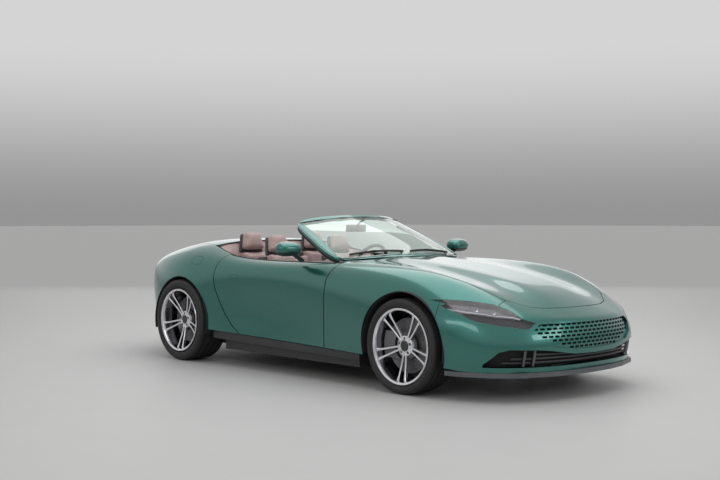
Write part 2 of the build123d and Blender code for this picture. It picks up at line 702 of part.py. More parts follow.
def make_powertrain():
    engine = block((along(-700), along(-80)), (-330, 330), (floor_top, 690))
    tube_front, tube_rear = along(-690), along(-2610)
    tube = Pos((tube_front + tube_rear) / 2, 0, 262) * Rot(0, 90, 0) * Cylinder(60, tube_front - tube_rear)
    gearbox = block((along(-3000), along(-2600)), (-240, 240), (floor_top, 460))
    return engine + tube + gearbox


# Wheels, made for the right side
def make_tyre(radius, width, centre_y, axle_x, rim_half):
    half, wall = width / 2, (rim_flange_radius + radius) / 2
    bead = rim_half - 20
    side = [(rim_seat_radius, bead), (rim_flange_radius + 1, bead + 6), (rim_flange_radius + 9, half
                                                                         * 0.88), (wall, half),
            (radius - 14, half * 0.95), (radius, half * 0.78)]
    profile = side + [(r, -y) for r, y in reversed(side)]
    face = make_face(Polyline(*[(0, centre_y + y, radius + r) for r, y in profile], close=True))
    return Pos(axle_x, 0, 0) * revolve(face, Axis((0, 0, radius), (0, 1, 0)))


def ring_about_axle(profile, centre_y, axle_x, centre_z):
    """Solid of revolution about the axle from (radius, outward offset) points, right-hand side."""
    face = make_face(Polyline(*[(0, centre_y - out, centre_z + r) for r, out in profile], close=True))
    return Pos(axle_x, 0, 0) * revolve(face, Axis((0, 0, centre_z), (0, 1, 0)))


def make_rim(tyre_radius, centre_y, axle_x, flange_half):
    z = tyre_radius
    seat_r, flange, half = rim_seat_radius, rim_flange_radius, flange_half
    outer = [(seat_r - 10, -half), (flange, -half), (flange, -half + 8), (seat_r, -half + 16), (seat_r,
                                                                                                half
                                                                                                - 16),
             (flange, half - 8), (flange, half), (seat_r - 10, half)]
    rim = ring_about_axle(outer, centre_y, axle_x, z)
    hub = [(0, hub_face), (hub_radius, hub_face), (hub_radius, hub_face + 32), (0, hub_face + 32)]
    rim += ring_about_axle(hub, centre_y, axle_x, z)
    for step in range(spoke_count):
        spoke = Pos(0, -(hub_face + 24), 0) * Box(52, 26, seat_r - hub_radius + 4)
        spoke = Pos(0, 0, (seat_r + hub_radius) / 2 - 6) * spoke
        rim += Pos(axle_x, centre_y, z) * Rot(0, 180 + 360 / spoke_count * step, 0) * spoke
    disc = [(hub_radius, hub_face), (hub_radius, disc_inner), (disc_radius, disc_inner),
            (disc_radius, disc_inner + disc_thickness), (hub_radius + 22, disc_inner + disc_thickness),
            (hub_radius + 22, hub_face)]
    rim += ring_about_axle(disc, centre_y, axle_x, z)
    rim += ring_about_axle([(0, hub_face), (0, shaft_inner), (shaft_radius, shaft_inner),
                            (shaft_radius, hub_face)], centre_y, axle_x, z)
    return only_solid(rim)


def make_upright(tyre_radius, centre_y, axle_x, caliper_side):
    z = tyre_radius
    kingpin_y = centre_y + kingpin_inset
    bearing = ring_about_axle([(shaft_radius + shaft_clearance, knuckle_outer), (62, knuckle_outer),
                               (62, knuckle_inner), (shaft_radius + shaft_clearance, knuckle_inner)],
                              centre_y, axle_x, z)
    post = block((axle_x - 26, axle_x + 26), (centre_y - knuckle_outer, centre_y - knuckle_inner),
                 (z - 128, z + 128))
    post -= drum(50, (centre_y - 200, centre_y + 200), axle_x, z)
    upright = bearing + post
    for end in (-1, 1):
        upright += Pos(axle_x, kingpin_y, z + end * 148) * Cylinder(kingpin_radius, 44)
    sector = ring_about_axle([(118, -62), (226, -62), (226, 40), (118, 40)], centre_y, axle_x, z)
    slot_inner, slot_outer = disc_inner - 6, disc_inner + disc_thickness + 6
    slot_line = [(0, slot_inner), (disc_radius + 6, slot_inner), (disc_radius + 6, slot_outer), (0, slot_outer)]
    slot = ring_about_axle(slot_line, centre_y, axle_x, z)
    window = block((axle_x + caliper_side * 172 - 100, axle_x + caliper_side * 172 + 100), (-1300, 0),
                   (z - 95, z + 95))
    caliper = (sector & window) - slot
    bracket = block(sorted((axle_x + caliper_side * 20, axle_x + caliper_side * 150)),
                    (centre_y - knuckle_inner - 22, centre_y - knuckle_inner), (z - 60, z + 60))
    bracket -= drum(50, (centre_y - 200, centre_y + 200), axle_x, z)
    return only_solid(upright + caliper + bracket)


def make_suspension():
    """Crossing arms of the four corners, the rear pair carrying fixed uprights."""
    solids = []
    for axle_x, centre_y, radius in ((front_axle_x, -front_track / 2, front_tyre_radius),
                                     (rear_axle_x, -rear_track / 2, rear_tyre_radius)):
        kingpin_y = centre_y + kingpin_inset
        carrier = None
        for end in (-1, 1):
            z = radius + end * 150
            arm = plan_prism([(axle_x - 34, kingpin_y - 22), (axle_x + 34, kingpin_y - 22),
                              (axle_x + 150, -400), (axle_x - 150, -400)], z - arm_thickness / 2, z
                             + arm_thickness / 2)
            arm -= Pos(axle_x, kingpin_y, z) * Cylinder(kingpin_radius + shaft_clearance, 80)
            carrier = arm if carrier is None else carrier + arm
        carrier += block((axle_x - 150, axle_x + 150), (-420, -385), (floor_top, radius + 163))
        solids.append(carrier)
    solids.append(make_upright(rear_tyre_radius, -rear_track / 2, rear_axle_x, 1))
    return solids + [flip(solid) for solid in solids]


def make_liner(axle_x, centre_z, radius, y_range):
    shell = drum(radius - 0.4, y_range, axle_x, centre_z) - drum(radius - 6, (y_range[0] - 10,
                                                                              y_range[1] + 10), axle_x,
                                                                 centre_z)
    return shell - block((axle_x - 600, axle_x + 600), (-1200, 0), (-200, 260))


def make_wheel_liners():
    front = make_liner(front_arch_x, front_arch_z, front_arch_radius, (-across(935), -across(560)))
    rear = make_liner(rear_axle_x, rear_arch_z, rear_arch_radius, (-across(960), -across(600)))
    return [front, rear, flip(front), flip(rear)]


def rounded_box(x, y, z, radius):
    body = Box(x, y, z)
    return fillet(body.edges(), radius)


def make_door_mirror(door):
    """Right door mirror: head, and the foot that stands on the door's belt."""
    head = Pos(along(-1165), -across(985), 996) * rounded_box(150, 220, 118, 40)
    foot = side_prism([(along(-1200), 700), (along(-1110), 700), (along(-1120), 962), (along(-1185), 962)],
                      -across(905), -across(846))
    foot -= block((along(-1300), along(-1000)), (-1000, -700), (600, 850))
    return only_solid(head + only_solid(foot - door))


# Places found from the body's surface
door_front_line = [(-760, 960), (-790, 850), (-817, 782), (-824, 640), (-826, 420), (-826, sill_top(-826))]
door_rear_line = [(-1855, sill_top(-1855)), (-1960, 350), (-2059, 442), (-2140, 560), (-2190, 660),
                  (-2212, 750), (-2200, 840), (-2160, 960)]
front_arch_radius = front_tyre_radius + arch_clearance
rear_arch_radius = rear_tyre_radius + arch_clearance - 20
front_arch_x = front_axle_x + 8
front_wheel_z = front_tyre_radius
rear_wheel_z = rear_tyre_radius
front_arch_z = front_wheel_z - arch_drop
rear_arch_z = rear_wheel_z - arch_drop
lamp_plane = Plane(origin=(840, -852, 0), x_dir=(0.71, 0.70, 0), z_dir=(0.70, -0.71, 0))
bonnet_hinge_x = along(-790)
hinge_x = along(-735)
hinge_y = -across(882)
deck_hinge_z = net_point(body_net, 3.2, 9).Z - 6
tonneau_hinge_x = along(deck_split) - hinge_gap / 2 + 3.4
boot_hinge_x = along(deck_split) - hinge_gap / 2 - 3.4
screen_net = [mirrored(real_line(row)) for row in screen_rows]
tunnel_space = block((along(-2700), along(-700)), (-85, 85), (0, 345))
wheel_centre = Vector(along(-1655), steering_wheel_y, 830)
steer_axis = Vector(-math.cos(math.radians(steer_tilt)), 0, math.sin(math.radians(steer_tilt)))
wheel_plane = Plane(origin=wheel_centre, x_dir=(0, 1, 0), z_dir=steer_axis)
knuckle_outer = disc_inner - disc_gap
knuckle_inner = knuckle_outer - 56
shaft_inner = knuckle_inner + 6

# Pieces that others are trimmed to
front_bumper = make_front_bumper()
rear_quarter = make_rear_quarter()
rear_bumper = make_rear_bumper(rear_quarter)
right_door = make_door()
floor = make_floor(front_bumper)
screen_frame = make_windscreen_frame()

pieces = {
    "bonnet": make_bonnet(),
    "front_bumper": front_bumper,
    "headlamps": make_headlamps(),
    "grille": make_grille(),
    "front_splitter": make_front_splitter(front_bumper, floor),
    "tonneau_cover": make_tonneau(),
    "boot_lid": make_boot_lid(),
    "rear_bumper": rear_bumper,
    "tail_lamps": make_tail_lamps(),
    "rear_diffuser": make_rear_diffuser(rear_bumper),
    "exhaust": make_exhaust(),
    "floor_pan": floor,
    "sills": make_sills(),
    "firewall": make_firewall(screen_frame),
    "windscreen_frame": screen_frame,
    "windscreen": make_windscreen(),
    "rear_seat": make_rear_seat(),
    "dashboard": make_dashboard(),
    "centre_console": make_console(),
    "cabin_trim": make_cabin_trim(),
    "steering_wheel": make_steering_wheel(),
    "boot_tub": make_boot_tub(rear_bumper),
    "powertrain": make_powertrain(),
    "suspension": make_suspension(),
    "wheel_liners": make_wheel_liners(),
}
front_place = (-front_track / 2, front_axle_x)
rear_place = (-rear_track / 2, rear_axle_x)
right_pieces = {
    "front_wing": make_front_wing(),
    "rear_quarter": rear_quarter,
    "door": right_door,
    "door_mirror": make_door_mirror(right_door),
    "front_seat": make_front_seat(),
    "front_tyre": make_tyre(front_tyre_radius, front_tyre_width, *front_place, front_rim_half),
    "rear_tyre": make_tyre(rear_tyre_radius, rear_tyre_width, *rear_place, rear_rim_half),
    "front_rim": make_rim(front_tyre_radius, *front_place, front_rim_half),
    "rear_rim": make_rim(rear_tyre_radius, *rear_place, rear_rim_half),
    "front_knuckle": make_upright(front_tyre_radius, *front_place, -1),
}
for name, piece in right_pieces.items():
    pieces[name + "_right"] = piece
    pieces[name + "_left"] = flip(piece)

os.makedirs("parts", exist_ok=True)
for name, piece in pieces.items():
    solids = piece if isinstance(piece, list) else piece.solids()
    shape = solids[0] if len(solids) == 1 else Compound(children=[Solid(solid.wrapped) for solid in solids])
    export_step(shape, f"parts/{name}.step")
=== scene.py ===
import json
import math
import bpy
from mathutils import Matrix, Vector
from mathutils.bvhtree import BVHTree
from mathutils.interpolate import poly_3d_calc


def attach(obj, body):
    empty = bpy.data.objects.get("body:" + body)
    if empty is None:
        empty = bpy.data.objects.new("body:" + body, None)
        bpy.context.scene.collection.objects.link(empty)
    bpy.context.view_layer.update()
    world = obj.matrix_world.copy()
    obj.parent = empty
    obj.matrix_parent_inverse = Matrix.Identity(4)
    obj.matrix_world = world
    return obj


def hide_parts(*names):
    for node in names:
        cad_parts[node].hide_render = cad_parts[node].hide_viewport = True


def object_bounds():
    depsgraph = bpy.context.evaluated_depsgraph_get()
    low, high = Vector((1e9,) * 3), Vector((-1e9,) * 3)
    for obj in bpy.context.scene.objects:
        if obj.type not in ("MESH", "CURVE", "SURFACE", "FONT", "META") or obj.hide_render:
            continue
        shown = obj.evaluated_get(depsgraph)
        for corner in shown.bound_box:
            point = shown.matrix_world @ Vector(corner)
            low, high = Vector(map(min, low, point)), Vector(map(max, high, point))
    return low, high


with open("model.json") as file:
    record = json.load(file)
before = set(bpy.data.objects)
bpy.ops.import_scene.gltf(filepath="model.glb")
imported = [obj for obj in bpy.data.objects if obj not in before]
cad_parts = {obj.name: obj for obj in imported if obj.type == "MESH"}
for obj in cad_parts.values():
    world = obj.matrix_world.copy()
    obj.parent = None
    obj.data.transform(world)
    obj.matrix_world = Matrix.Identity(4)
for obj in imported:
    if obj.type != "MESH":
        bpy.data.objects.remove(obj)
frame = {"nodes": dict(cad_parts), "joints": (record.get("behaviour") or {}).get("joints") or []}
cadBox = [list(corner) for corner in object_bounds()]
mm = 0.001
jointAt = {joint["name"]: Vector(joint["pos_m"]) for joint in frame["joints"]}
frontAxle = jointAt["front_wheel_right_spin"]
rearAxle = jointAt["rear_wheel_right_spin"]
print("frame loaded")

# Body lines are drawn in mm: X from the front axle, half-breadth, height
drawn = {"front": 985.15, "rear": 993.37, "wheelbase": 2670}
stretchFront = (cadBox[1][0] - frontAxle.x) / drawn["front"]
stretchRear = (rearAxle.x - cadBox[0][0]) / drawn["rear"]


def along(x):
    if x > 0:
        return frontAxle.x + x * stretchFront
    if x > -drawn["wheelbase"]:
        return frontAxle.x + x * (frontAxle.x - rearAxle.x) / drawn["wheelbase"]
    return rearAxle.x + (x + drawn["wheelbase"]) * stretchRear


def place(x, y, z):
    return Vector((along(x), y * mm, z * mm))


# ---- small tools ----
def only(*objects):
    for other in bpy.context.selected_objects:
        other.select_set(False)
    for obj in objects:
        obj.select_set(True)
    bpy.context.view_layer.objects.active = objects[0]


def edit(obj, *steps):
    # runs (operator, settings) steps on everything in the mesh
    only(obj)
    bpy.ops.object.mode_set(mode="EDIT")
    bpy.ops.mesh.select_all(action="SELECT")
    for operator, settings in steps:
        operator(**settings)
    bpy.ops.object.mode_set(mode="OBJECT")


def modify(obj, kind, **settings):
    only(obj)
    modifier = obj.modifiers.new(kind.lower(), kind)
    for key, value in settings.items():
        setattr(modifier, key, value)
    bpy.ops.object.modifier_apply(modifier=modifier.name)
    return obj


def copyOf(obj, name):
    twin = obj.copy()
    twin.data = obj.data.copy()
    twin.name = name
    bpy.context.collection.objects.link(twin)
    return twin


def joined(name, objects):
    only(*objects)
    if len(objects) > 1:
        bpy.ops.object.join()
    objects[0].name = name
    return objects[0]


def remove(*objects):
    for obj in objects:
        bpy.data.objects.remove(obj)


def mirroredOf(obj, name):
    # the same piece on the other side, with its faces turned the right way out again
    twin = copyOf(obj, name)
    twin.data.transform(Matrix.Scale(-1, 4, (0, 1, 0)))
    twin.data.flip_normals()
    return twin


def grid(name, rows):
    # a primitive grid whose points are moved to the given rows
    bpy.ops.mesh.primitive_grid_add(x_subdivisions=len(rows[0]) - 1, y_subdivisions=len(rows) - 1, size=1)
    obj = bpy.context.object
    obj.name = name
    points = [point for row in rows for point in row]
    obj.data.vertices.foreach_set("co", [value for point in points for value in point])
    return obj


def tube(rings):
    # closed rings of points joined one after another, with both ends filled
    obj = grid("tube", [list(ring) + [ring[0]] for ring in rings])
    edit(obj, (bpy.ops.mesh.remove_doubles, {"threshold": 1e-6}))
    edit(obj, (bpy.ops.mesh.fill_holes, {"sides": 0}))
    edit(obj, (bpy.ops.mesh.normals_make_consistent, {"inside": False}))
    return obj


def prism(points, direction):
    # flat outline pushed along a direction
    bpy.ops.mesh.primitive_circle_add(vertices=len(points), radius=1, fill_type="NGON")
    obj = bpy.context.object
    obj.data.vertices.foreach_set("co", [value for point in points for value in point])
    edit(obj, (bpy.ops.mesh.extrude_region_move, {"TRANSFORM_OT_translate": {"value": direction}}))
    edit(obj, (bpy.ops.mesh.normals_make_consistent, {"inside": False}))
    return obj


def planPrism(outline, low, high):
    return prism([(x, y, low) for x, y in outline], (0, 0, high - low))


def sidePrism(outline, near, far):
    return prism([(x, near, z) for x, z in outline], (0, far - near, 0))


def frontPrism(outline):
    rear, front = along(600), along(1200)
    return prism([(rear, y, z) for y, z in outline], (front - rear, 0, 0))


def box(low, high):
    bpy.ops.mesh.primitive_cube_add(size=1)
    obj = bpy.context.object
    obj.data.transform(Matrix.LocRotScale((Vector(low) + Vector(high)) / 2, None, Vector(high) - Vector(low)))
    return obj


def cylinder(radius, start, end, vertices=48):
    start, end = Vector(start), Vector(end)
    axis = end - start
    bpy.ops.mesh.primitive_cylinder_add(vertices=vertices, radius=radius, depth=axis.length)
    obj = bpy.context.object
    turn = axis.to_track_quat("Z", "Y").to_matrix().to_4x4()
    obj.data.transform(Matrix.Translation((start + end) / 2) @ turn)
    return obj


def boolean(obj, cutter, operation="DIFFERENCE"):
    modify(obj, "BOOLEAN", object=cutter, operation=operation, solver="MANIFOLD")
    remove(cutter)
    return obj


def turned(profile, centre, steps=96):
    # closed profile of (radius, outward offset) spun about the axle, on the right-hand side
    bpy.ops.mesh.primitive_circle_add(vertices=len(profile), radius=1)
    obj = bpy.context.object
    obj.data.vertices.foreach_set("co", [v for r, out in profile for v in (centre.x, centre.y - out, centre.z + r)])
    spin = {"steps": steps, "angle": 2 * math.pi, "center": centre, "axis": (0, 1, 0)}
    edit(obj, (bpy.ops.mesh.spin, spin), (bpy.ops.mesh.select_all, {"action": "SELECT"}),
         (bpy.ops.mesh.remove_doubles, {"threshold": 1e-5}))
    edit(obj, (bpy.ops.mesh.normals_make_consistent, {"inside": False}))
    return obj


def smooth(obj, angle=30):
    only(obj)
    bpy.ops.object.shade_smooth_by_angle(angle=math.radians(angle))
    return obj


# ---- materials ----
def material(label, color, roughness, metallic=0.0, **sockets):
    mat = bpy.data.materials.new(label)
    mat.use_nodes = True
    sockets.update(Base_Color=(*color, 1), Roughness=roughness, Metallic=metallic)
    for name, value in sockets.items():
        shaderSocket(mat, name.replace("_", " ")).default_value = value
    return mat


def shaderSocket(mat, name):
    return mat.node_tree.nodes["Principled BSDF"].inputs[name]


def texture(mat, kind, scale, **settings):
    nodes, links = mat.node_tree.nodes, mat.node_tree.links
    coords = nodes.get("coords") or nodes.new("ShaderNodeTexCoord")
    coords.name = "coords"
    node = nodes.new(kind)
    node.inputs["Scale"].default_value = scale
    for key, value in settings.items():
        if key in node.inputs:
            node.inputs[key].default_value = value
        else:
            setattr(node, key, value)
    links.new(coords.outputs["Object"], node.inputs["Vector"])
    return node


def varyColor(mat, output, low, high, dark, light):
    nodes, links = mat.node_tree.nodes, mat.node_tree.links
    ramp = nodes.new("ShaderNodeValToRGB")
    for element, position, color in zip(ramp.color_ramp.elements, (low, high), (dark, light)):
        element.position = position
        element.color = (*color, 1)
    links.new(output, ramp.inputs["Fac"])
    links.new(ramp.outputs["Color"], shaderSocket(mat, "Base Color"))


def varyRoughness(mat, output, low, high):
    nodes, links = mat.node_tree.nodes, mat.node_tree.links
    ranged = nodes.new("ShaderNodeMapRange")
    ranged.inputs["To Min"].default_value = low
    ranged.inputs["To Max"].default_value = high
    links.new(output, ranged.inputs["Value"])
    links.new(ranged.outputs["Result"], shaderSocket(mat, "Roughness"))


def bump(mat, output, distance, strength=1.0):
    nodes, links = mat.node_tree.nodes, mat.node_tree.links
    node = nodes.new("ShaderNodeBump")
    node.inputs["Strength"].default_value = strength
    node.inputs["Distance"].default_value = distance
    links.new(output, node.inputs["Height"])
    normal = shaderSocket(mat, "Normal")
    if normal.links:
        links.new(normal.links[0].from_socket, node.inputs["Normal"])
    links.new(node.outputs["Normal"], normal)


def makePaint():
    paint = {"base": (0.022, 0.150, 0.125), "dark": (0.015, 0.120, 0.100), "light": (0.036, 0.200, 0.168)}
    mat = material("paint", paint["base"], 0.30, 0.82, Coat_Weight=1.0, Coat_Roughness=0.03, Coat_IOR=1.5)
    flakes = texture(mat, "ShaderNodeTexVoronoi", 900)
    varyColor(mat, flakes.outputs["Color"], 0.1, 0.9, paint["dark"], paint["light"])
    orangePeel = texture(mat, "ShaderNodeTexNoise", 220, Detail=1.0)
    bump(mat, orangePeel.outputs["Fac"], 0.00002)
    return mat


def makeGloss(name, color, roughness=0.12):
    mat = material(name, color, roughness, 0, Coat_Weight=0.5, Coat_Roughness=0.05)
    haze = texture(mat, "ShaderNodeTexNoise", 14, Detail=3.0)
    varyRoughness(mat, haze.outputs["Fac"], roughness * 0.7, roughness * 1.5)
    return mat


def makeMoulded(name, color, roughness=0.55, grain=1400, depth=0.00012):
    mat = material(name, color, roughness)
    stipple = texture(mat, "ShaderNodeTexVoronoi", grain)
    bump(mat, stipple.outputs["Distance"], depth)
    patches = texture(mat, "ShaderNodeTexNoise", 6, Detail=4.0)
    varyColor(mat, patches.outputs["Fac"], 0.3, 0.7, [c * 0.82 for c in color], [min(1, c * 1.2) for c in color])
    varyRoughness(mat, patches.outputs["Fac"], roughness - 0.08, roughness + 0.1)
    return mat


def makeMetal(name, color, roughness, brush=None):
    mat = material(name, color, roughness, 1.0)
    wear = texture(mat, "ShaderNodeTexNoise", 40, Detail=6.0)
    varyRoughness(mat, wear.outputs["Fac"], roughness * 0.7, roughness * 1.5)
    varyColor(mat, wear.outputs["Fac"], 0.3, 0.7, [c * 0.93 for c in color], color)
    if brush:
        lines = texture(mat, "ShaderNodeTexNoise", brush, Detail=2.0)
        bump(mat, lines.outputs["Fac"], 0.00005)
    return mat


def makeLeather(name, color, roughness=0.48):
    mat = material(name, color, roughness, 0, Sheen_Weight=0.25, Sheen_Roughness=0.5)
    pebbles = texture(mat, "ShaderNodeTexVoronoi", 520, feature="DISTANCE_TO_EDGE")
    bump(mat, pebbles.outputs["Distance"], 0.0006, 0.6)
    creases = texture(mat, "ShaderNodeTexNoise", 22, Detail=5.0)
    bump(mat, creases.outputs["Fac"], 0.0012, 0.35)
    varyColor(mat, creases.outputs["Fac"], 0.3, 0.75, [c * 0.84 for c in color], [min(1, c * 1.12) for c in color])
    varyRoughness(mat, creases.outputs["Fac"], roughness - 0.08, roughness + 0.1)
    return mat


def makeGlass(name, tint, roughness=0.0, transmission=1.0):
    mat = material(name, tint, roughness, 0, IOR=1.45)
    shaderSocket(mat, "Transmission Weight").default_value = transmission
    dust = texture(mat, "ShaderNodeTexNoise", 8, Detail=4.0)
    varyRoughness(mat, dust.outputs["Fac"], roughness, roughness + 0.02)
    return mat


paint = makePaint()
glossBlack = makeGloss("glossBlack", (0.012, 0.012, 0.014))
satinBlack = makeMoulded("satinBlack", (0.025, 0.025, 0.027), 0.42)
dullBlack = makeMoulded("dullBlack", (0.018, 0.018, 0.019), 0.75, 500, 0.0004)
splitterGrey = makeMoulded("splitterGrey", (0.085, 0.092, 0.10), 0.38)
rubber = makeMoulded("rubber", (0.016, 0.016, 0.017), 0.62, 900, 0.0002)
alloy = makeMetal("alloy", (0.80, 0.80, 0.83), 0.13)
discSteel = makeMetal("discSteel", (0.13, 0.13, 0.135), 0.36, 300)
castSteel = makeMetal("castSteel", (0.22, 0.22, 0.23), 0.5, 120)
chrome = makeMetal("chrome", (0.75, 0.75, 0.77), 0.10)
seatLeather = makeLeather("seatLeather", (0.40, 0.285, 0.27))
darkLeather = makeLeather("darkLeather", (0.035, 0.03, 0.032))
carpet = makeMoulded("carpet", (0.06, 0.05, 0.05), 0.95, 300, 0.002)
screenGlass = makeGlass("screenGlass", (0.80, 0.93, 0.87))
lampGlass = makeGlass("lampGlass", (0.90, 0.89, 0.93))
redLens = makeGloss("redLens", (0.32, 0.01, 0.012), 0.08)
screenSeal = makeMoulded("screenSeal", (0.012, 0.012, 0.012), 0.6)
liningGrey = makeMoulded("liningGrey", (0.16, 0.15, 0.14), 0.7)
lampDark = makeGloss("lampDark", (0.006, 0.005, 0.009), 0.14)
lampSilver = makeGloss("lampSilver", (0.72, 0.72, 0.76), 0.2)
blankPlate = makeMoulded("blankPlate", (0.30, 0.30, 0.30), 0.45)
mirrorGlass = makeMetal("mirrorGlass", (0.55, 0.58, 0.60), 0.03)
dashLeather = makeLeather("dashLeather", (0.17, 0.115, 0.105))
print("materials made")


def dress(piece, name, mat, body, slotName, *nodes):
    piece.name = name
    piece.data.materials.clear()
    piece.data.materials.append(mat)
    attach(piece, body)
    if nodes:
        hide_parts(*nodes)
    return piece


def dressPair(piece, name, mat, slotName, body="root", node="", finish=None):
    # the right-hand piece and its mirror image; {} in the node's name takes the side
    left = mirroredOf(piece, name + "_left")
    if finish:
        finish(left)
    for one, side in ((piece, "right"), (left, "left")):
        nodes = [node.format(side)] if node and (side == "right" or "{}" in node) else []
        dress(one, name + "_" + side, mat, body if body == "root" else body + "_" + side, slotName, *nodes)
    return piece, left


# ---- the body's surface ----
sideLines = [
    [(-3300, 760, 330), (-3240, 815, 320), (-3120, 885, 300), (-2930, 945, 280), (-2670, 965, 265),
     (-2400, 955, 250), (-2050, 940, 240), (-1650, 925, 235), (-1250, 915, 225), (-850, 915, 215),
     (-450, 925, 205), (-100, 935, 200), (150, 935, 210), (320, 930, 220), (420, 915, 225)],
    [(-3330, 760, 420), (-3260, 820, 410), (-3130, 895, 390), (-2930, 955, 375), (-2670, 980, 365),
     (-2400, 960, 355), (-2050, 930, 345), (-1650, 915, 335), (-1250, 910, 325), (-850, 915, 320),
     (-450, 935, 315), (-100, 955, 310), (150, 955, 310), (320, 945, 310), (430, 925, 315)],
    [(-3360, 760, 520), (-3280, 825, 510), (-3140, 905, 500), (-2930, 965, 490), (-2670, 990, 485),
     (-2400, 965, 475), (-2050, 915, 465), (-1650, 900, 455), (-1250, 900, 445), (-850, 915, 440),
     (-450, 945, 435), (-100, 968, 430), (150, 968, 430), (320, 955, 420), (440, 930, 420)],
    [(-3400, 750, 630), (-3310, 820, 630), (-3150, 900, 630), (-2930, 965, 630), (-2670, 992, 620),
     (-2400, 965, 610), (-2050, 915, 600), (-1650, 900, 590), (-1250, 900, 580), (-850, 920, 575),
     (-450, 950, 570), (-100, 968, 560), (150, 965, 550), (320, 950, 530), (450, 925, 510)],
    [(-3440, 720, 730), (-3340, 790, 750), (-3170, 870, 770), (-2930, 935, 785), (-2670, 965, 785),
     (-2400, 950, 765), (-2050, 925, 740), (-1650, 915, 730), (-1250, 910, 720), (-850, 920, 715),
     (-450, 940, 715), (-100, 945, 700), (150, 935, 675), (340, 915, 635), (500, 885, 585)],
    [(-3500, 660, 800), (-3380, 730, 845), (-3190, 800, 885), (-2930, 860, 920), (-2670, 890, 935),
     (-2400, 890, 910), (-2050, 895, 865), (-1650, 895, 850), (-1250, 890, 845), (-850, 885, 845),
     (-450, 880, 845), (-100, 870, 825), (170, 855, 785), (400, 820, 715), (660, 775, 590)],
    [(-3570, 540, 840), (-3430, 580, 895), (-3210, 630, 950), (-2930, 670, 1000), (-2670, 710, 1030),
     (-2400, 750, 990), (-2050, 790, 915), (-1650, 800, 895), (-1250, 800, 900), (-850, 780, 910),
     (-450, 740, 910), (-100, 720, 900), (200, 700, 860), (520, 660, 755), (820, 600, 567)],
    [(-3630, 320, 855), (-3480, 340, 910), (-3230, 360, 975), (-2930, 370, 1030), (-2670, 400, 1060),
     (-2400, 420, 1030), (-2050, 440, 955), (-1650, 460, 930), (-1250, 460, 930), (-850, 460, 915),
     (-450, 460, 885), (-100, 460, 840), (230, 450, 780), (600, 420, 695), (900, 400, 555)],
    [(-3645, 160, 860), (-3495, 170, 914), (-3240, 180, 980), (-2930, 180, 1035), (-2670, 200, 1065),
     (-2400, 210, 1030), (-2050, 220, 960), (-1650, 230, 940), (-1250, 230, 945), (-850, 240, 940),
     (-450, 250, 915), (-100, 250, 875), (250, 240, 820), (640, 220, 735), (950, 200, 550)],
    [(-3650, 0, 860), (-3500, 0, 915), (-3240, 0, 980), (-2930, 0, 1035), (-2670, 0, 1065),
     (-2400, 0, 1030), (-2050, 0, 960), (-1650, 0, 940), (-1250, 0, 945), (-850, 0, 938),
     (-450, 0, 910), (-100, 0, 870), (260, 0, 815), (660, 0, 730), (965, 0, 548)],
]
# Below the crease of the nose, from the corner to the middle
noseLines = [
    [(518, 900, 455), (675, 822, 450), (868, 650, 435), (954, 413, 432), (984, 208, 430), (993, 0, 430)],
    [(515, 900, 340), (688, 828, 340), (872, 652, 338), (956, 415, 335), (985, 210, 335), (992, 0, 335)],
    [(500, 885, 205), (680, 805, 205), (840, 645, 200), (925, 410, 200), (955, 210, 200), (962, 0, 200)],
]
# Below the edge of the tail
tailLines = [
    [(-3462, 718, 640), (-3530, 645, 700), (-3585, 540, 735), (-3620, 330, 755), (-3632, 165, 760), (-3637, 0, 760)],
    [(-3458, 710, 480), (-3540, 632, 510), (-3612, 532, 535), (-3660, 330, 545), (-3672, 170, 548), (-3677, 0, 548)],
    [(-3390, 700, 345), (-3465, 620, 350), (-3540, 520, 350), (-3585, 320, 355), (-3595, 160, 355), (-3600, 0, 355)],
]


def mirroredRow(row):
    return [place(x, -y, z) for x, y, z in row] + [place(x, y, z) for x, y, z in reversed(row[:-1])]


# faces are numbered by cage (body, nose, tail), by station and by line
cageZone, stationZone = 10000, 100
noseStart, tailStart = cageZone, 2 * cageZone


def makeShell():
    stations = [list(row) for row in zip(*sideLines)]
    cages = [grid("bodyCage", [mirroredRow(row) for row in stations])]
    for lines, station in ((noseLines, stations[-1]), (tailLines, stations[0])):
        edge = station[3:]
        corners = [station[2], station[1], station[0]]
        rows = [edge] + [[corner] + line for corner, line in zip(corners, lines)]
        cages.append(grid("endCage", [mirroredRow(row) for row in rows]))
    for number, cage in enumerate(cages):
        zone = cage.data.attributes.new("zone", "INT", "FACE")
        columns = 18 if number == 0 else 12
        zone.data.foreach_set("value", [number * cageZone + face // columns * stationZone + face % columns
                                        for face in range(len(cage.data.polygons))])
    shell = joined("shell", cages)
    edit(shell, (bpy.ops.mesh.remove_doubles, {"threshold": 0.0004}),
         (bpy.ops.mesh.normals_make_consistent, {"inside": False}))
    top = max(shell.data.polygons, key=lambda face: face.center.z)
    if top.normal.z < 0:
        shell.data.flip_normals()
    sharpen(shell, stations)
    modify(shell, "SUBSURF", levels=4, render_levels=4)
    return shell


def key(point):
    return tuple(round(value, 4) for value in point)


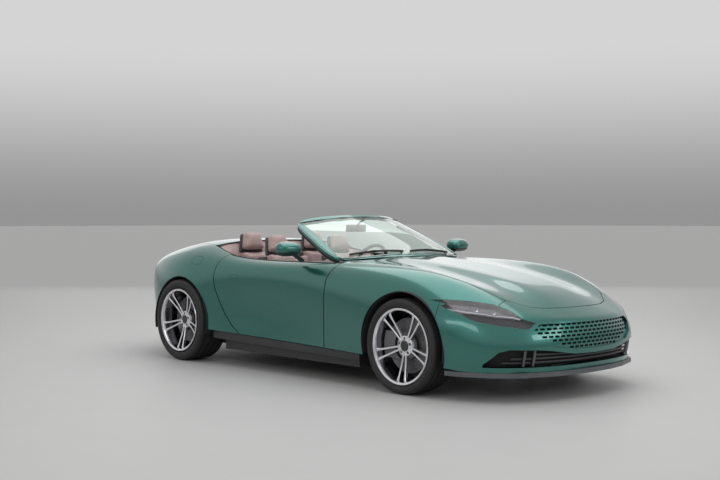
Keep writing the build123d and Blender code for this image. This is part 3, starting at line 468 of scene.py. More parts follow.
def sharpen(shell, stations):
    # semi-sharp edges: the nose's crease, the tail's edge and the ridges of the bonnet's dome
    wanted = {}

    def line(points, weight):
        for first, second in zip(points, points[1:]):
            wanted[frozenset((key(first), key(second)))] = weight

    noseRow, tailRow = mirroredRow(stations[-1][3:]), mirroredRow(stations[0][3:])
    line(noseRow[4:9], 0.55)
    line(noseRow[2:5], 0.42)
    line(noseRow[8:11], 0.42)
    line(tailRow[1:12], 0.75)
    for side in (-1, 1):
        line([place(x, side * y, z) for x, y, z in sideLines[8][8:14]], 0.36)
        line([place(x, side * y, z) for x, y, z in sideLines[6][9:14]], 0.22)
        line([place(x, side * y, z) for x, y, z in sideLines[5][4:9]], 0.10)
    crease = shell.data.attributes.new("crease_edge", "FLOAT", "EDGE")
    found = 0
    for edge in shell.data.edges:
        pair = frozenset(key(shell.data.vertices[index].co) for index in edge.vertices)
        if pair in wanted:
            crease.data[edge.index].value = wanted[pair]
            found += 1
    print("creased edges", found, "of", len(wanted))


shell = makeShell()
shellPoints = [vertex.co.copy() for vertex in shell.data.vertices]
shellNormals = [vertex.normal.copy() for vertex in shell.data.vertices]
shellFaces = [tuple(face.vertices) for face in shell.data.polygons]
shellZones = [item.value for item in shell.data.attributes["zone"].data]
shellTree = BVHTree.FromPolygons(shellPoints, shellFaces)
print("shell made", len(shellFaces))


def shellNormalAt(point):
    spot, _, index, gap = shellTree.find_nearest(point)
    face = shellFaces[index]
    weights = poly_3d_calc([shellPoints[i] for i in face], spot)
    normal = sum((shellNormals[i] * w for i, w in zip(face, weights)), Vector())
    return normal.normalized(), spot, gap


def polish(piece):
    # faces that follow the body's surface take its exact normals
    mesh = piece.data
    only(piece)
    bpy.ops.object.shade_smooth()
    atVertex = [shellNormalAt(vertex.co)[0] for vertex in mesh.vertices]
    normals = [None] * len(mesh.loops)
    for face in mesh.polygons:
        flat = face.normal
        for loop in face.loop_indices:
            normal = atVertex[mesh.loops[loop].vertex_index]
            agreement = normal.dot(flat)
            normals[loop] = normal if agreement > 0.8 else -normal if agreement < -0.8 else flat
    mesh.normals_split_custom_set(normals)
    return piece


def panel(name, depth, wanted, cutters=(), inside=(), under=0.0):
    # the wanted faces of the shell as a wall, trimmed by its outlines
    piece = copyOf(shell, name)
    keep = [wanted(shellZones[i], face.center) for i, face in enumerate(shell.data.polygons)]
    piece.data.polygons.foreach_set("select", [not kept for kept in keep])
    only(piece)
    bpy.context.tool_settings.mesh_select_mode = (False, False, True)
    bpy.ops.object.mode_set(mode="EDIT")
    bpy.ops.mesh.delete(type="FACE")
    bpy.ops.object.mode_set(mode="OBJECT")
    if under:
        modify(piece, "DISPLACE", strength=-under, mid_level=0)
    modify(piece, "SOLIDIFY", thickness=depth, offset=-1, use_even_offset=True)
    for cutter in inside:
        boolean(piece, cutter, "INTERSECT")
    for cutter in cutters:
        boolean(piece, cutter)
    return piece


# ---- outlines of the panels ----
gap = 6
doorWingGap, doorQuarterGap = gap + 3, gap + 1.5
arches = {"frontRadius": 0.400, "rearRadius": 0.394, "drop": 0.012, "frontShift": 0.008}
lidSplit = along(-2885)
besideCar = -1.1
tailLamp = {"inner": 0.350, "outer": 0.640, "low": 0.728, "high": 0.782, "clearance": 0.0005}
plate = {"half": 0.28, "low": 0.597, "high": 0.717}
skinDepth = {"bonnet": 0.018, "wing": 0.014, "bumper": 0.014, "quarter": 0.014, "door": 0.012, "lid": 0.022}
lampSeat = 0.0004


def sillTop(x):
    return 248 + 48 * (x + 380) / (-2248 + 380)


doorFront = [(-760, 960), (-790, 850), (-817, 782), (-824, 640), (-826, 420), (-826, sillTop(-826))]
doorRear = [(-1855, sillTop(-1855)), (-1960, 350), (-2059, 442), (-2140, 560), (-2190, 660), (-2212, 750),
            (-2200, 840), (-2160, 960)]
bonnetRear = [(-715, 0), (-735, -300), (-790, -560)]
bonnetSide = [(-835, -708), (-400, -705), (-44, -692), (200, -682), (433, -630), (585, -580), (634, -556)]
bonnetFront = [(665, -522), (742, -440), (796, -317), (826, -197), (840, -80)]
bootRear = [(-3628, 0), (-3623, -160), (-3604, -320), (-3550, -455)]
wingPlan = [(330, -1200), (330, -885), (430, -862), (511, -830), (609, -780), (660, -740), (672, -700), (652, -655),
            (634, -556)]
wingInner = [(600, -300), (-700, -300), (-770, -560), (-838, -708)]
lampTop = [(241, -902, 677), (354, -859, 681), (467, -799, 676), (557, -733, 667), (626, -677, 653),
           (717, -623, 616), (811, -599, 560), (868, -522, 530)]
lampBottom = [(858, -594, 493), (757, -715, 514), (691, -772, 527), (609, -827, 544), (558, -853, 562),
              (511, -866, 587), (419, -888, 611), (344, -897, 638), (385, -880, 655)]
grilleHalf = [(0, 343), (233, 350), (431, 372), (520, 426), (548, 486), (522, 508), (494, 524)]
mouthHalf = [(0, 310), (233, 315), (431, 345), (537, 356), (712, 361), (764, 342), (818, 262), (818, 240)]


def acrossNose(half):
    # (y, z) outline from its left half, beginning on the middle line
    return [(-y, z) for y, z in reversed(half)] + half[1:]


def bothSides(right):
    return right + [(x, -y) for x, y in reversed(right)]


def rounded(points, amount=0.35, steps=4):
    # each corner of a closed outline replaced by a short curve
    result = []
    for before, corner, after in zip(points[-1:] + points[:-1], points, points[1:] + points[:1]):
        before, corner, after = Vector(before), Vector(corner), Vector(after)
        start = corner.lerp(before, amount)
        end = corner.lerp(after, amount)
        for step in range(steps + 1):
            t = step / steps
            result.append(start.lerp(corner, t).lerp(corner.lerp(end, t), t))
    return [tuple(point) for point in result]


def doorOutline(grow=0):
    front = [(along(x) + grow * mm, z * mm) for x, z in doorFront]
    front[-1] = (front[-1][0], front[-1][1] - grow * mm)
    return front + [(along(x) - grow * mm, (z - 0.6 * grow) * mm) for x, z in doorRear]


def bonnetOutline(grow=0):
    grow = grow * mm
    rear = [(along(x) - grow, y * mm) for x, y in bonnetRear]
    side = [(along(x), y * mm - grow) for x, y in bonnetSide]
    side[0] = (side[0][0] - grow, side[0][1])
    side[-1] = (side[-1][0] + grow * 0.7, side[-1][1] - grow * 0.3)
    side += [(along(x) + grow, y * mm) for x, y in bonnetFront]
    return rear + side + [(x, -y) for x, y in reversed(side)] + [(x, -y) for x, y in reversed(rear[1:])]


def bonnetCutter(grow=0):
    return planPrism(bonnetOutline(grow), 0.3, 1.2)


def lidCutter(outline):
    return planPrism(outline, 0.3, 1.3)


def deckOutline(grow=0):
    grow = grow * mm
    return bothSides([(lidSplit - grow, -0.660 - grow), (along(-2500) + grow, -0.680 - grow)])


def bootOutline(grow=0):
    grow = grow * mm
    rear = [(along(x) - grow, y * mm) for x, y in bootRear]
    corner = [(along(-3530), -0.465 - grow), (lidSplit - 0.014 + grow, -0.610 - 2.6 * grow)]
    return bothSides(rear + corner)


def wingOutline(grow=0.0):
    rear = [(along(-845), -0.712), (along(-845), -1.2)]
    front = [(along(x) + grow, y * mm) for x, y in wingPlan]
    return rear + front + [(along(x), y * mm) for x, y in wingInner]


def arch(axle, radius, shift=0.0, side=-1):
    x, z = axle.x + shift, axle.z - arches["drop"]
    return cylinder(radius, (x, side * 1.2, z), (x, side * 0.5, z), 128)


def frontArch(side=-1):
    return arch(frontAxle, arches["frontRadius"], arches["frontShift"], side)


def lampPrism(grow=0.0):
    # looks square on to the right front corner
    outward = Vector((0.70, -0.71, 0)).normalized()
    points = [place(*point) for point in lampTop + lampBottom]
    origin = place(840, -852, 0)
    flat = [point - outward * (point - origin).dot(outward) for point in points]
    middle = sum(flat, Vector()) / len(flat)
    flat = [point + (point - middle).normalized() * grow for point in flat]
    return prism([tuple(point - outward * 0.5) for point in flat], tuple(outward * 1.4))


def belowSill(rear, front, near):
    # the space under the sill's top edge, where a panel has to end
    line = [(rear, 0), (rear, sillTop(rear)), (front, sillTop(front)), (front, 0)]
    return sidePrism([(along(x), z * mm) for x, z in line], near, -0.5)


# ---- panels ----
def makeBonnet():
    return panel("bonnetPanel", skinDepth["bonnet"], lambda zone, c: zone < noseStart and c.x > along(-1000),
                 inside=[bonnetCutter()])


def makeFrontWing():
    cutters = [sidePrism(doorOutline(doorWingGap), besideCar, -0.7), bonnetCutter(gap),
               frontArch(), lampPrism(lampSeat)]
    wing = panel("wing", skinDepth["wing"], lambda zone, c: zone < noseStart and c.x > along(-1000) and c.y < 0,
                 cutters, [planPrism(wingOutline(), 0.1, 1.2)])
    return boolean(wing, belowSill(-900, 0, besideCar))


def makeFrontBumper():
    bumper = panel("bumper", skinDepth["bumper"], lambda zone, c: c.x > along(250) and zone < tailStart)
    boolean(bumper, bonnetCutter(gap))
    for side in (-1, 1):
        boolean(bumper, planPrism([(x, -side * y) for x, y in wingOutline(0.004)], 0.1, 1.2))
        boolean(bumper, frontArch(side))
        lamp = lampPrism(lampSeat)
        if side > 0:
            lamp.data.transform(Matrix.Scale(-1, 4, (0, 1, 0)))
            lamp.data.flip_normals()
        boolean(bumper, lamp)
    for half in (grilleHalf, mouthHalf):
        boolean(bumper, frontPrism([(y * mm, z * mm) for y, z in acrossNose(half)]))
    return bumper


def frameCutter(outline, width, near, far):
    # ring-shaped cutter that leaves a flush flap inside
    ring = sidePrism(outline, near, far)
    middle = sum((Vector(point) for point in outline), Vector((0, 0))) / len(outline)
    inner = [tuple(Vector(p) - (Vector(p) - middle).normalized() * width) for p in outline]
    return boolean(ring, sidePrism(inner, near - 0.01, far + 0.01))


def doorZone(zone, c):
    return zone < noseStart and c.y < -0.6 and along(-2400) < c.x < along(-600)


def makeDoor():
    handle = [(along(-2001), 0.735), (along(-1905), 0.738), (along(-1905), 0.772), (along(-2001), 0.769)]
    door = panel("door", skinDepth["door"], doorZone, inside=[sidePrism(doorOutline(), besideCar, -0.782)])
    return boolean(door, frameCutter(rounded(handle, 0.2, 3), 0.0028, besideCar, -0.86))


def makeQuarter():
    cabin = [(-2510, 50), (-2510, -694), (-2300, -748), (-2100, -782), (-1700, -782), (-1700, 50)]
    flap = [(along(-2560), 0.842), (along(-2420), 0.838), (along(-2425), 0.905), (along(-2555), 0.912)]
    cutters = [sidePrism(doorOutline(doorQuarterGap), besideCar, -0.6), lidCutter(deckOutline(gap)),
               lidCutter(bootOutline(gap)), arch(rearAxle, arches["rearRadius"]),
               lidCutter([(along(x), y * mm) for x, y in cabin]),
               box((lidSplit - 0.015, -0.666, 0.3), (lidSplit + 0.001, 0.1, 1.3)), belowSill(-2700, -1700, -1.2),
               frameCutter(rounded(flap, 0.3, 4), 0.0026, besideCar, -0.80)]
    return panel("quarter", skinDepth["quarter"], lambda zone, c: zone < noseStart and c.x < along(-1800)
                 and c.y < 0 and not 6 < zone < stationZone, cutters, [box((-3, -1.2, 0), (along(-1850), 0.0, 1.3))])


def tailLampBox(side, rear, grow=0.0):
    near, far = sorted((side * (tailLamp["inner"] - grow), side * (tailLamp["outer"] + grow)))
    return box((rear, near, tailLamp["low"] - grow), (along(-3200), far, tailLamp["high"] + grow))


def plateBox(rear, front, wider, taller):
    half = plate["half"] + wider
    return box((rear, -half, plate["low"] - taller), (front, half, plate["high"] + taller))


def makeRearBumper():
    cutters = [lidCutter(bootOutline(gap)), plateBox(-2.5, -2.0, 0, 0)]
    cutters += [tailLampBox(side, -2.5, tailLamp["clearance"]) for side in (-1, 1)]
    return panel("bumper", skinDepth["bumper"], lambda zone, c: zone >= tailStart or 6 < zone < 11, cutters)


def makeLid(outline, front):
    return panel("lid", skinDepth["lid"], lambda zone, c: zone < noseStart and c.x < along(front),
                 inside=[lidCutter(outline)])


dress(polish(makeBonnet()), "bonnet_panel", paint, "bonnet", "body_paint", "bonnet")
wing, door, quarter = polish(makeFrontWing()), polish(makeDoor()), polish(makeQuarter())
for kind, piece, body, node in (("front_wing", wing, "root", "front_wing_{}"), ("door", door, "door", ""),
                                ("rear_quarter", quarter, "root", "rear_quarter_{}")):
    dressPair(piece, kind + "_skin", paint, "body_paint", body, node, polish)
dress(polish(makeFrontBumper()), "front_bumper_skin", paint, "root", "body_paint", "front_bumper")
dress(polish(makeRearBumper()), "rear_bumper_skin", paint, "root", "body_paint", "rear_bumper")
deck, boot = polish(makeLid(deckOutline(), -2300)), polish(makeLid(bootOutline(), -2700))
dress(deck, "deck_panel", paint, "tonneau_cover", "body_paint", "tonneau_cover")
dress(boot, "boot_panel", paint, "boot_lid", "body_paint", "boot_lid")
print("panels made")


# ---- rounded stock for trim and padding ----
def pathTube(points, radius, sides=10, flat=1.0):
    # strip of round or flattened section along a line of points
    rings = []
    points = [Vector(point) for point in points]
    angles = [2 * math.pi * step / sides for step in range(sides)]
    for index, point in enumerate(points):
        tangent = (points[min(index + 1, len(points) - 1)] - points[max(index - 1, 0)]).normalized()
        across = tangent.cross(Vector((0, 0, 1)) if abs(tangent.z) < 0.95 else Vector((1, 0, 0))).normalized()
        up = across.cross(tangent)
        rings.append([point + across * radius * math.cos(a) + up * radius * flat * math.sin(a) for a in angles])
    return smooth(tube(rings), 50)


def beveled(obj, width, segments=3):
    modify(obj, "BEVEL", width=width, segments=segments, limit_method="ANGLE", angle_limit=math.radians(35))
    return smooth(obj, 40)


def soften(obj, levels=2, angle=50):
    return smooth(modify(obj, "SUBSURF", levels=levels), angle)


def sideBlock(line, halfWidth, corner, steps, bevel):
    # rounded outline of drawn (x, z) points, between the two sides of the cabin
    outline = rounded([(along(x), z * mm) for x, z in line], corner, steps)
    return beveled(sidePrism(outline, -halfWidth, halfWidth), bevel, 3)


def padBlock(size, radius=0.03, at=(0, 0, 0)):
    # soft-cornered block, ready to be inflated
    bpy.ops.mesh.primitive_cube_add(size=1)
    obj = bpy.context.object
    obj.data.transform(Matrix.Diagonal((*size, 1)))
    beveled(obj, radius, 4)
    obj.data.transform(at if isinstance(at, Matrix) else Matrix.Translation(at))
    return obj


def inflate(pad, cap=0.012, pressure=4.0, voxel=0.006):
    # cloth with air in it: the pad's faces crown and its sides pull in between the corners
    modify(pad, "REMESH", mode="VOXEL", voxel_size=voxel)
    before = [vertex.co.copy() for vertex in pad.data.vertices]
    only(pad)
    cloth = pad.modifiers.new("cloth", "CLOTH")
    cloth.settings.use_pressure = True
    cloth.settings.uniform_pressure_force = pressure
    cloth.settings.quality = 4
    cloth.settings.effector_weights.gravity = 0
    cloth.point_cache.frame_start = 1
    cloth.point_cache.frame_end = 20
    for number in range(1, 21):
        bpy.context.scene.frame_set(number)
    bpy.ops.object.modifier_apply(modifier="cloth")
    for vertex, start in zip(pad.data.vertices, before):
        move = vertex.co - start
        if move.length > cap:
            vertex.co = start + move * (cap / move.length)
    bpy.context.scene.frame_set(1)
    modify(pad, "SUBSURF", levels=1)
    only(pad)
    bpy.ops.object.shade_smooth()
    return pad


# ---- doors: shut faces, trim, belt seal, hinge arms ----
def beltPoint(x, y, drop=0.0):
    spot = shellTree.ray_cast(Vector((x, y, 1.4)), Vector((0, 0, -1)))[0]
    return spot - Vector((0, 0, drop))


def makeDoorCore():
    core = panel("doorCore", 0.07, doorZone, inside=[sidePrism(doorOutline(-6), besideCar, -0.80)], under=0.0125)
    hinge = jointAt["door_right_hinge"]
    arm = {"reach": -0.767, "half": 0.012, "tall": 0.015, "spacing": 0.14}
    front = hinge.x + arm["half"]
    parts = [core]
    for z in (hinge.z - arm["spacing"], hinge.z + arm["spacing"]):
        low, high = z - arm["tall"], z + arm["tall"]
        parts.append(box((hinge.x - arm["half"], hinge.y - arm["half"], low), (front, arm["reach"], high)))
        parts.append(box((along(-885), arm["reach"] - 0.01, low), (front, arm["reach"] + 0.01, high)))
    return smooth(joined("doorCore", parts), 30)


def makeDoorCard():
    card = {"near": -0.826, "far": -0.764, "top": 872}
    line = [(-868, 310), (-1875, 310), (-1985, 520), (-1995, card["top"]), (-868, card["top"])]
    outline = rounded([(along(x), z * mm) for x, z in line], 0.12, 4)
    body = beveled(sidePrism(outline, card["near"], card["far"]), 0.008, 3)
    rest = padBlock((0.36, 0.04, 0.055), 0.018, (along(-1700), -0.760, 0.655))
    pocket = padBlock((0.5, 0.03, 0.10), 0.014, (along(-1480), -0.764, 0.40))
    return joined("doorCard", [body, rest, pocket])


def makeBeltSeal():
    xs = [along(-838 - step * 52) for step in range(26)]
    return pathTube([beltPoint(x, -0.7835) + Vector((0, 0.002, -0.0005)) for x in xs], 0.0065)


doorCore, doorCard, beltSeal = makeDoorCore(), makeDoorCard(), makeBeltSeal()
dressPair(doorCore, "door_core", paint, "body_paint", "door", "door_{}")
dressPair(doorCard, "door_card", seatLeather, "seat_leather", "door")
dressPair(beltSeal, "door_seal", satinBlack, "black_trim", "door")
print("doors made")


# ---- wheels ----
wheelSizes = {"front": {"half": 0.1225, "rim": 0.114, "axle": frontAxle},
              "rear": {"half": 0.1425, "rim": 0.139, "axle": rearAxle}}
spokes = 5
bolts = {"circle": 0.054, "hole": 0.0105, "lug": 0.0085}


def tyreProfile(size):
    radius, half, rim = size["axle"].z, size["half"], size["rim"]
    wall = (0.271 + radius) / 2
    side = [(0.2545, rim - 0.022), (0.2725, rim - 0.011), (0.2755, rim - 0.004), (0.281, half * 0.90),
            (0.291, half * 0.965), (wall - 0.006, half * 0.996), (wall + 0.008, half), (radius - 0.021, half * 0.982),
            (radius - 0.010, half * 0.94), (radius - 0.004, half * 0.88), (radius - 0.0012, half * 0.80)]
    for groove in (0.60, 0.20):
        offset = half * groove
        side += [(radius, offset + 0.0055), (radius - 0.007, offset + 0.0045), (radius - 0.007, offset - 0.0045),
                 (radius, offset - 0.0055)]
    return side + [(r, -out) for r, out in reversed(side)]


def barrelProfile(rim):
    return [(0.254, rim - 0.018), (0.262, rim - 0.012), (0.2705, rim - 0.008), (0.271, rim - 0.002), (0.269, rim),
            (0.262, rim - 0.001), (0.254, rim - 0.005), (0.250, rim - 0.014), (0.247, rim - 0.030), (0.243, 0.02),
            (0.240, -0.03), (0.243, -rim + 0.02), (0.262, -rim + 0.003), (0.271, -rim), (0.271, -rim + 0.006),
            (0.256, -rim + 0.014), (0.2535, -rim + 0.03)]


def makeBlade(side, deep):
    # one blade of a twin spoke, pointing down: (radius, sideways, width, face, depth)
    stations = [(0.040, 0.008, 0.016, 0.066, 0.030), (0.085, 0.014, 0.017, 0.068, 0.032),
                (0.130, 0.019, 0.016, 0.074, 0.030), (0.175, 0.024, 0.016, 0.083, 0.027),
                (0.215, 0.029, 0.018, 0.092, 0.026), (0.235, 0.033, 0.024, 0.097, 0.028),
                (0.249, 0.037, 0.032, 0.100, 0.032)]
    corners = [(-0.5, 0.15), (-0.36, 0), (0.36, 0), (0.5, 0.15), (0.34, 1), (-0.34, 1)]
    rings = []
    for r, offset, width, face, depth in stations:
        face += deep * (0.35 + 0.65 * (r - 0.04) / 0.2)
        rings.append([(side * (offset + a * width), -(face - b * depth), -r) for a, b in corners])
    return modify(tube(rings), "SUBSURF", levels=2)


def makeWheel(size):
    centre = size["axle"]
    deep = size["rim"] - wheelSizes["front"]["rim"]
    face = 0.066 + deep * 0.35
    steps = [2 * math.pi * step / spokes for step in range(spokes)]
    spots = [centre + Vector((math.sin(a) * bolts["circle"], 0, -math.cos(a) * bolts["circle"]))
             for a in [step + math.pi / spokes for step in steps]]

    def bolt(spot, radius, start, end, sides):
        return cylinder(radius, spot - Vector((0, face - start, 0)), spot - Vector((0, face + end, 0)), sides)

    tyre = smooth(turned(tyreProfile(size), centre, 128), 35)
    barrel = smooth(turned(barrelProfile(size["rim"]), centre, 128), 40)
    blades = []
    for side in (-1, 1):
        first = makeBlade(side, deep)
        for angle in steps:
            blade = copyOf(first, "blade")
            blade.data.transform(Matrix.Translation(centre) @ Matrix.Rotation(angle, 4, "Y"))
            blades.append(blade)
        remove(first)
    hubLine = [(0, -0.03), (0.074, -0.032), (0.078, -0.022), (0.072, -0.008), (0.058, -0.002), (0.040, 0),
               (0.036, -0.004), (0, -0.004)]
    hub = smooth(turned([(r, face + out) for r, out in hubLine], centre), 30)
    for spot in spots:
        boolean(hub, bolt(spot, bolts["hole"], 0.022, 0.02, 24))
    rim = smooth(joined("rim", [barrel, hub] + blades), 35)
    capLine = [(0, -0.003), (0.0345, -0.003), (0.0345, 0.002), (0.031, 0.004), (0.029, 0.002), (0, 0.0025)]
    cap = smooth(turned([(r, face + out) for r, out in capLine], centre, 64), 30)
    lugs = joined("lugs", [bolt(spot, bolts["lug"], 0.024, -0.006, 6) for spot in spots])
    discLine = [(0.100, -0.006), (0.195, -0.006), (0.195, 0.003), (0.190, 0.003), (0.190, 0.010), (0.195, 0.010),
                (0.195, 0.020), (0.100, 0.020), (0.098, 0.040), (0.072, 0.044), (0.072, 0.036), (0.092, 0.033),
                (0.092, 0.0)]
    disc = smooth(turned(discLine, centre), 30)
    holes = []
    for step in range(36):
        angle = 2 * math.pi * step / 36
        reach = (0.125, 0.148, 0.171)[step % 3]
        spot = centre + Vector((math.sin(angle) * reach, 0, math.cos(angle) * reach))
        holes.append(cylinder(0.004, spot - Vector((0, 0.03, 0)), spot + Vector((0, 0.03, 0)), 10))
    smooth(boolean(disc, joined("holes", holes)), 30)
    return {"tyre": (tyre, rubber, "tyre_rubber"), "rim": (rim, alloy, "rim_metal"),
            "cap": (cap, glossBlack, "black_trim"), "lugs": (lugs, castSteel, "cast_metal"),
            "disc": (disc, discSteel, "cast_metal")}


def sharpEdged(piece):
    return smooth(piece, 35)


for kind in ("front", "rear"):
    for part, (piece, mat, slotName) in makeWheel(wheelSizes[kind]).items():
        node = kind + "_" + part + "_{}" if part in ("tyre", "rim") else ""
        dressPair(piece, kind + "_" + part + "_piece", mat, slotName, "wheel_" + kind, node, sharpEdged)
print("wheels made")


# ---- nose: grille, mouth, lamps ----
def noseZone(zone, c):
    return c.x > along(330)


def makeGrille():
    slots = {"rows": 7, "columns": 21, "pitchY": 0.050, "pitchZ": 0.0255, "length": 0.040, "height": 0.0145,
             "lowest": 0.362}
    half, tall = slots["length"] / 2, slots["height"] / 2
    wide = [(y * 1.03 * mm, (z + (8 if z > 480 else -8)) * mm) for y, z in acrossNose(grilleHalf)]
    plate = panel("grillePlate", 0.010, noseZone, inside=[frontPrism(wide)], under=0.0150)
    cutters = []
    for row in range(slots["rows"]):
        z = slots["lowest"] + row * slots["pitchZ"]
        reach = 0.20 + 0.37 * min(1, max(0, (z - 0.345) / 0.11)) - max(0, z - 0.49) * 1.1
        for column in range(-slots["columns"] // 2, slots["columns"] // 2 + 1):
            y = (column + 0.5 * (row % 2)) * slots["pitchY"]
            if abs(y) > reach:
                continue
            corner = half - tall * 0.6
            line = [(-half, 0), (-corner, -tall), (corner, -tall), (half, 0), (corner, tall), (-corner, tall)]
            cutters.append(frontPrism([(y + a, z + b) for a, b in line]))
    return polish(boolean(plate, joined("slots", cutters)))


def makeGrilleBack():
    wide = [(y * 1.02 * mm, (z + (6 if z > 480 else -6)) * mm) for y, z in acrossNose(grilleHalf)]
    mouth = [(y * 0.99 * mm, (z + (8 if z > 300 else 0)) * mm) for y, z in acrossNose(mouthHalf)]
    upper = panel("grilleBack", 0.004, noseZone, inside=[frontPrism(wide)], under=0.046)
    lower = panel("mouthBack", 0.004, noseZone, inside=[frontPrism(mouth)], under=0.075)
    return joined("grilleBack", [upper, lower])


def nosePoint(y, z, deep):
    spot, normal = shellTree.ray_cast(Vector((3, y, z)), Vector((-1, 0, 0)))[:2]
    return spot - (normal if normal.x > 0 else -normal) * deep


def makeMouthBars():
    bars = []
    for z, reach in ((0.262, 0.74), (0.290, 0.70), (0.318, 0.56)):
        ys = [reach * (step / 12 - 1) for step in range(25)]
        bars.append(pathTube([nosePoint(y, z, 0.034) for y in ys], 0.0055, 8, 1.6))
    return joined("mouthBars", bars)


def makeMouthFins():
    zs = (0.242, 0.27, 0.30, 0.33, 0.352)
    return joined("mouthFins", [pathTube([nosePoint(y, z, 0.022) for z in zs], 0.012, 8, 0.5)
                                for y in (-0.62, -0.555, 0.555, 0.62)])


dress(makeGrille(), "grille_plate", paint, "root", "body_paint", "grille")
dress(makeGrilleBack(), "grille_back", dullBlack, "root", "black_trim")
dress(makeMouthBars(), "mouth_bars", satinBlack, "root", "black_trim")
dress(makeMouthFins(), "mouth_fins", splitterGrey, "root", "black_trim")


def lampZone(zone, c):
    return c.x > along(190) and c.y < -0.42 and c.z > 0.44


def lampPoint(x, y, z):
    # nearest place on the right front corner, with its outward normal
    spot, normal = shellTree.find_nearest(place(x, y, z))[:2]
    return spot, normal if normal.dot(Vector((1, -1, 0))) > 0 else -normal


def makeHeadlamp():
    deep = 0.030
    lens = polish(panel("lens", 0.0035, lampZone, inside=[lampPrism()]))
    bezel = panel("bezel", deep + 0.004, lampZone, inside=[lampPrism()], under=0.0036)
    boolean(bezel, lampPrism(-0.006))
    bowl = smooth(panel("bowl", 0.006, lampZone, inside=[lampPrism()], under=deep), 30)
    line = [(391, -890, 623), (450, -871, 616), (508, -846, 611), (604, -789, 602), (693, -724, 587),
            (767, -640, 579), (800, -609, 566)]
    bar = pathTube([spot - normal * 0.013 for spot, normal in (lampPoint(*point) for point in line)], 0.007, 10, 0.8)
    eyes, rings = [], []
    for x, y, z in ((560, -790, 640), (655, -716, 622)):
        spot, normal = lampPoint(x, y, z)
        aim = (normal + Vector((0.8, 0, 0))).normalized()
        for kept, radius, under, length in ((rings, 0.017, 0.032, 0.018), (eyes, 0.013, 0.026, 0.014)):
            kept.append(cylinder(radius, spot - normal * under, spot - normal * under + aim * length, 40))
        beveled(rings[-1], 0.002, 2)
    return {"lens": (lens, lampGlass), "bezel": (bezel, lampDark), "bowl": (bowl, lampDark), "bar": (bar, lampSilver),
            "rings": (joined("rings", rings), chrome), "eyes": (joined("eyes", eyes), glossBlack)}


for part, (piece, mat) in makeHeadlamp().items():
    dressPair(piece, "headlamp_" + part, mat, "lamp_dark", "root", "headlamps" if part == "bowl" else "",
              polish if part == "lens" else None)


# ---- tail: lamps, plate recess ----
def makeTailLamp():
    return polish(panel("tailLens", 0.020, lambda zone, c: zone >= tailStart or zone < stationZone,
                        inside=[tailLampBox(-1, -2.45)]))


def makePlate():
    x = shellTree.ray_cast(Vector((-3, 0, 0.66)), Vector((1, 0, 0)))[0].x
    sheet = plateBox(x + 0.012, x + 0.016, -0.020, -0.005)
    return plateBox(x + 0.022, x + 0.032, 0.005, 0.005), beveled(sheet, 0.0015, 2)


dressPair(makeTailLamp(), "tail_lamp", redLens, "lamp_red", "root", "tail_lamps", polish)
tray, sheet = makePlate()
dress(tray, "plate_recess", satinBlack, "root", "black_trim")
dress(sheet, "blank_plate", blankPlate, "root", "body_paint")
print("lamps and grille made")


# ---- windscreen ----
screenRows = [[(-905, 745, 908), (-850, 560, 918), (-790, 300, 930), (-770, 0, 934)],
              [(-1240, 690, 1080), (-1175, 520, 1105), (-1105, 280, 1125), (-1085, 0, 1130)],
              [(-1570, 605, 1205), (-1470, 460, 1243), (-1395, 250, 1262), (-1375, 0, 1266)]]


def makeScreenSurface():
    surface = grid("screenSurface", [mirroredRow(row) for row in screenRows])
    edit(surface, (bpy.ops.mesh.normals_make_consistent, {"inside": False}))
    if sum(face.normal.x for face in surface.data.polygons) < 0:
        surface.data.flip_normals()
    return modify(surface, "SUBSURF", levels=5, render_levels=5)


screenSurface = makeScreenSurface()
screenTree = BVHTree.FromPolygons([v.co.copy() for v in screenSurface.data.vertices],
                                  [tuple(face.vertices) for face in screenSurface.data.polygons])


def screenOutline(less=0.0):
    right = [(0.4305, -0.690), (0.478, -0.56), (0.528, -0.30), (0.5444, 0)]
    top = [(-0.161, 0.581), (-0.085, 0.45), (-0.022, 0.245), (-0.006, 0)]
    line = [(x, y) for half in (right, top) for x, y in half + [(x, -y) for x, y in reversed(half[:-1])]]
    middle = Vector((0.19, 0))
    return [tuple(Vector(p) - (Vector(p) - middle).normalized() * less) for p in line]


def screenPrism(less):
    return planPrism(screenOutline(less), 0.7, 1.5)


def screenLayer(depth, under, less, operation="INTERSECT"):
    layer = copyOf(screenSurface, "layer")
    if under:
        modify(layer, "DISPLACE", strength=-under, mid_level=0)
    modify(layer, "SOLIDIFY", thickness=depth, offset=-1, use_even_offset=True)
    return boolean(layer, screenPrism(less), operation)


def onScreen(x, y, up=0.0):
    # steps inward where the surface ends before the place asked for
    spot = None
    while spot is None:
        spot, normal = screenTree.ray_cast(Vector((x, y, 1.5)), Vector((0, 0, -1)))[:2]
        x, y = x * 0.985 + 0.003, y * 0.99
    return spot + normal * (up if normal.z > 0 else -up)


def pillarEdge(side):
    bins = {}
    for vertex in screenSurface.data.vertices:
        slot = round((vertex.co.x + 0.235) / 0.028)
        if slot not in bins or vertex.co.y * side > bins[slot].y * side:
            bins[slot] = vertex.co.copy()
    return [bins[slot] for slot in sorted(bins) if bins[slot].x < 0.43]


def pillarTube(side, offset, radius, sides, flat):
    move = Vector((offset[0], side * offset[1], offset[2]))
    return pathTube([point + move for point in pillarEdge(side)], radius, sides, flat)


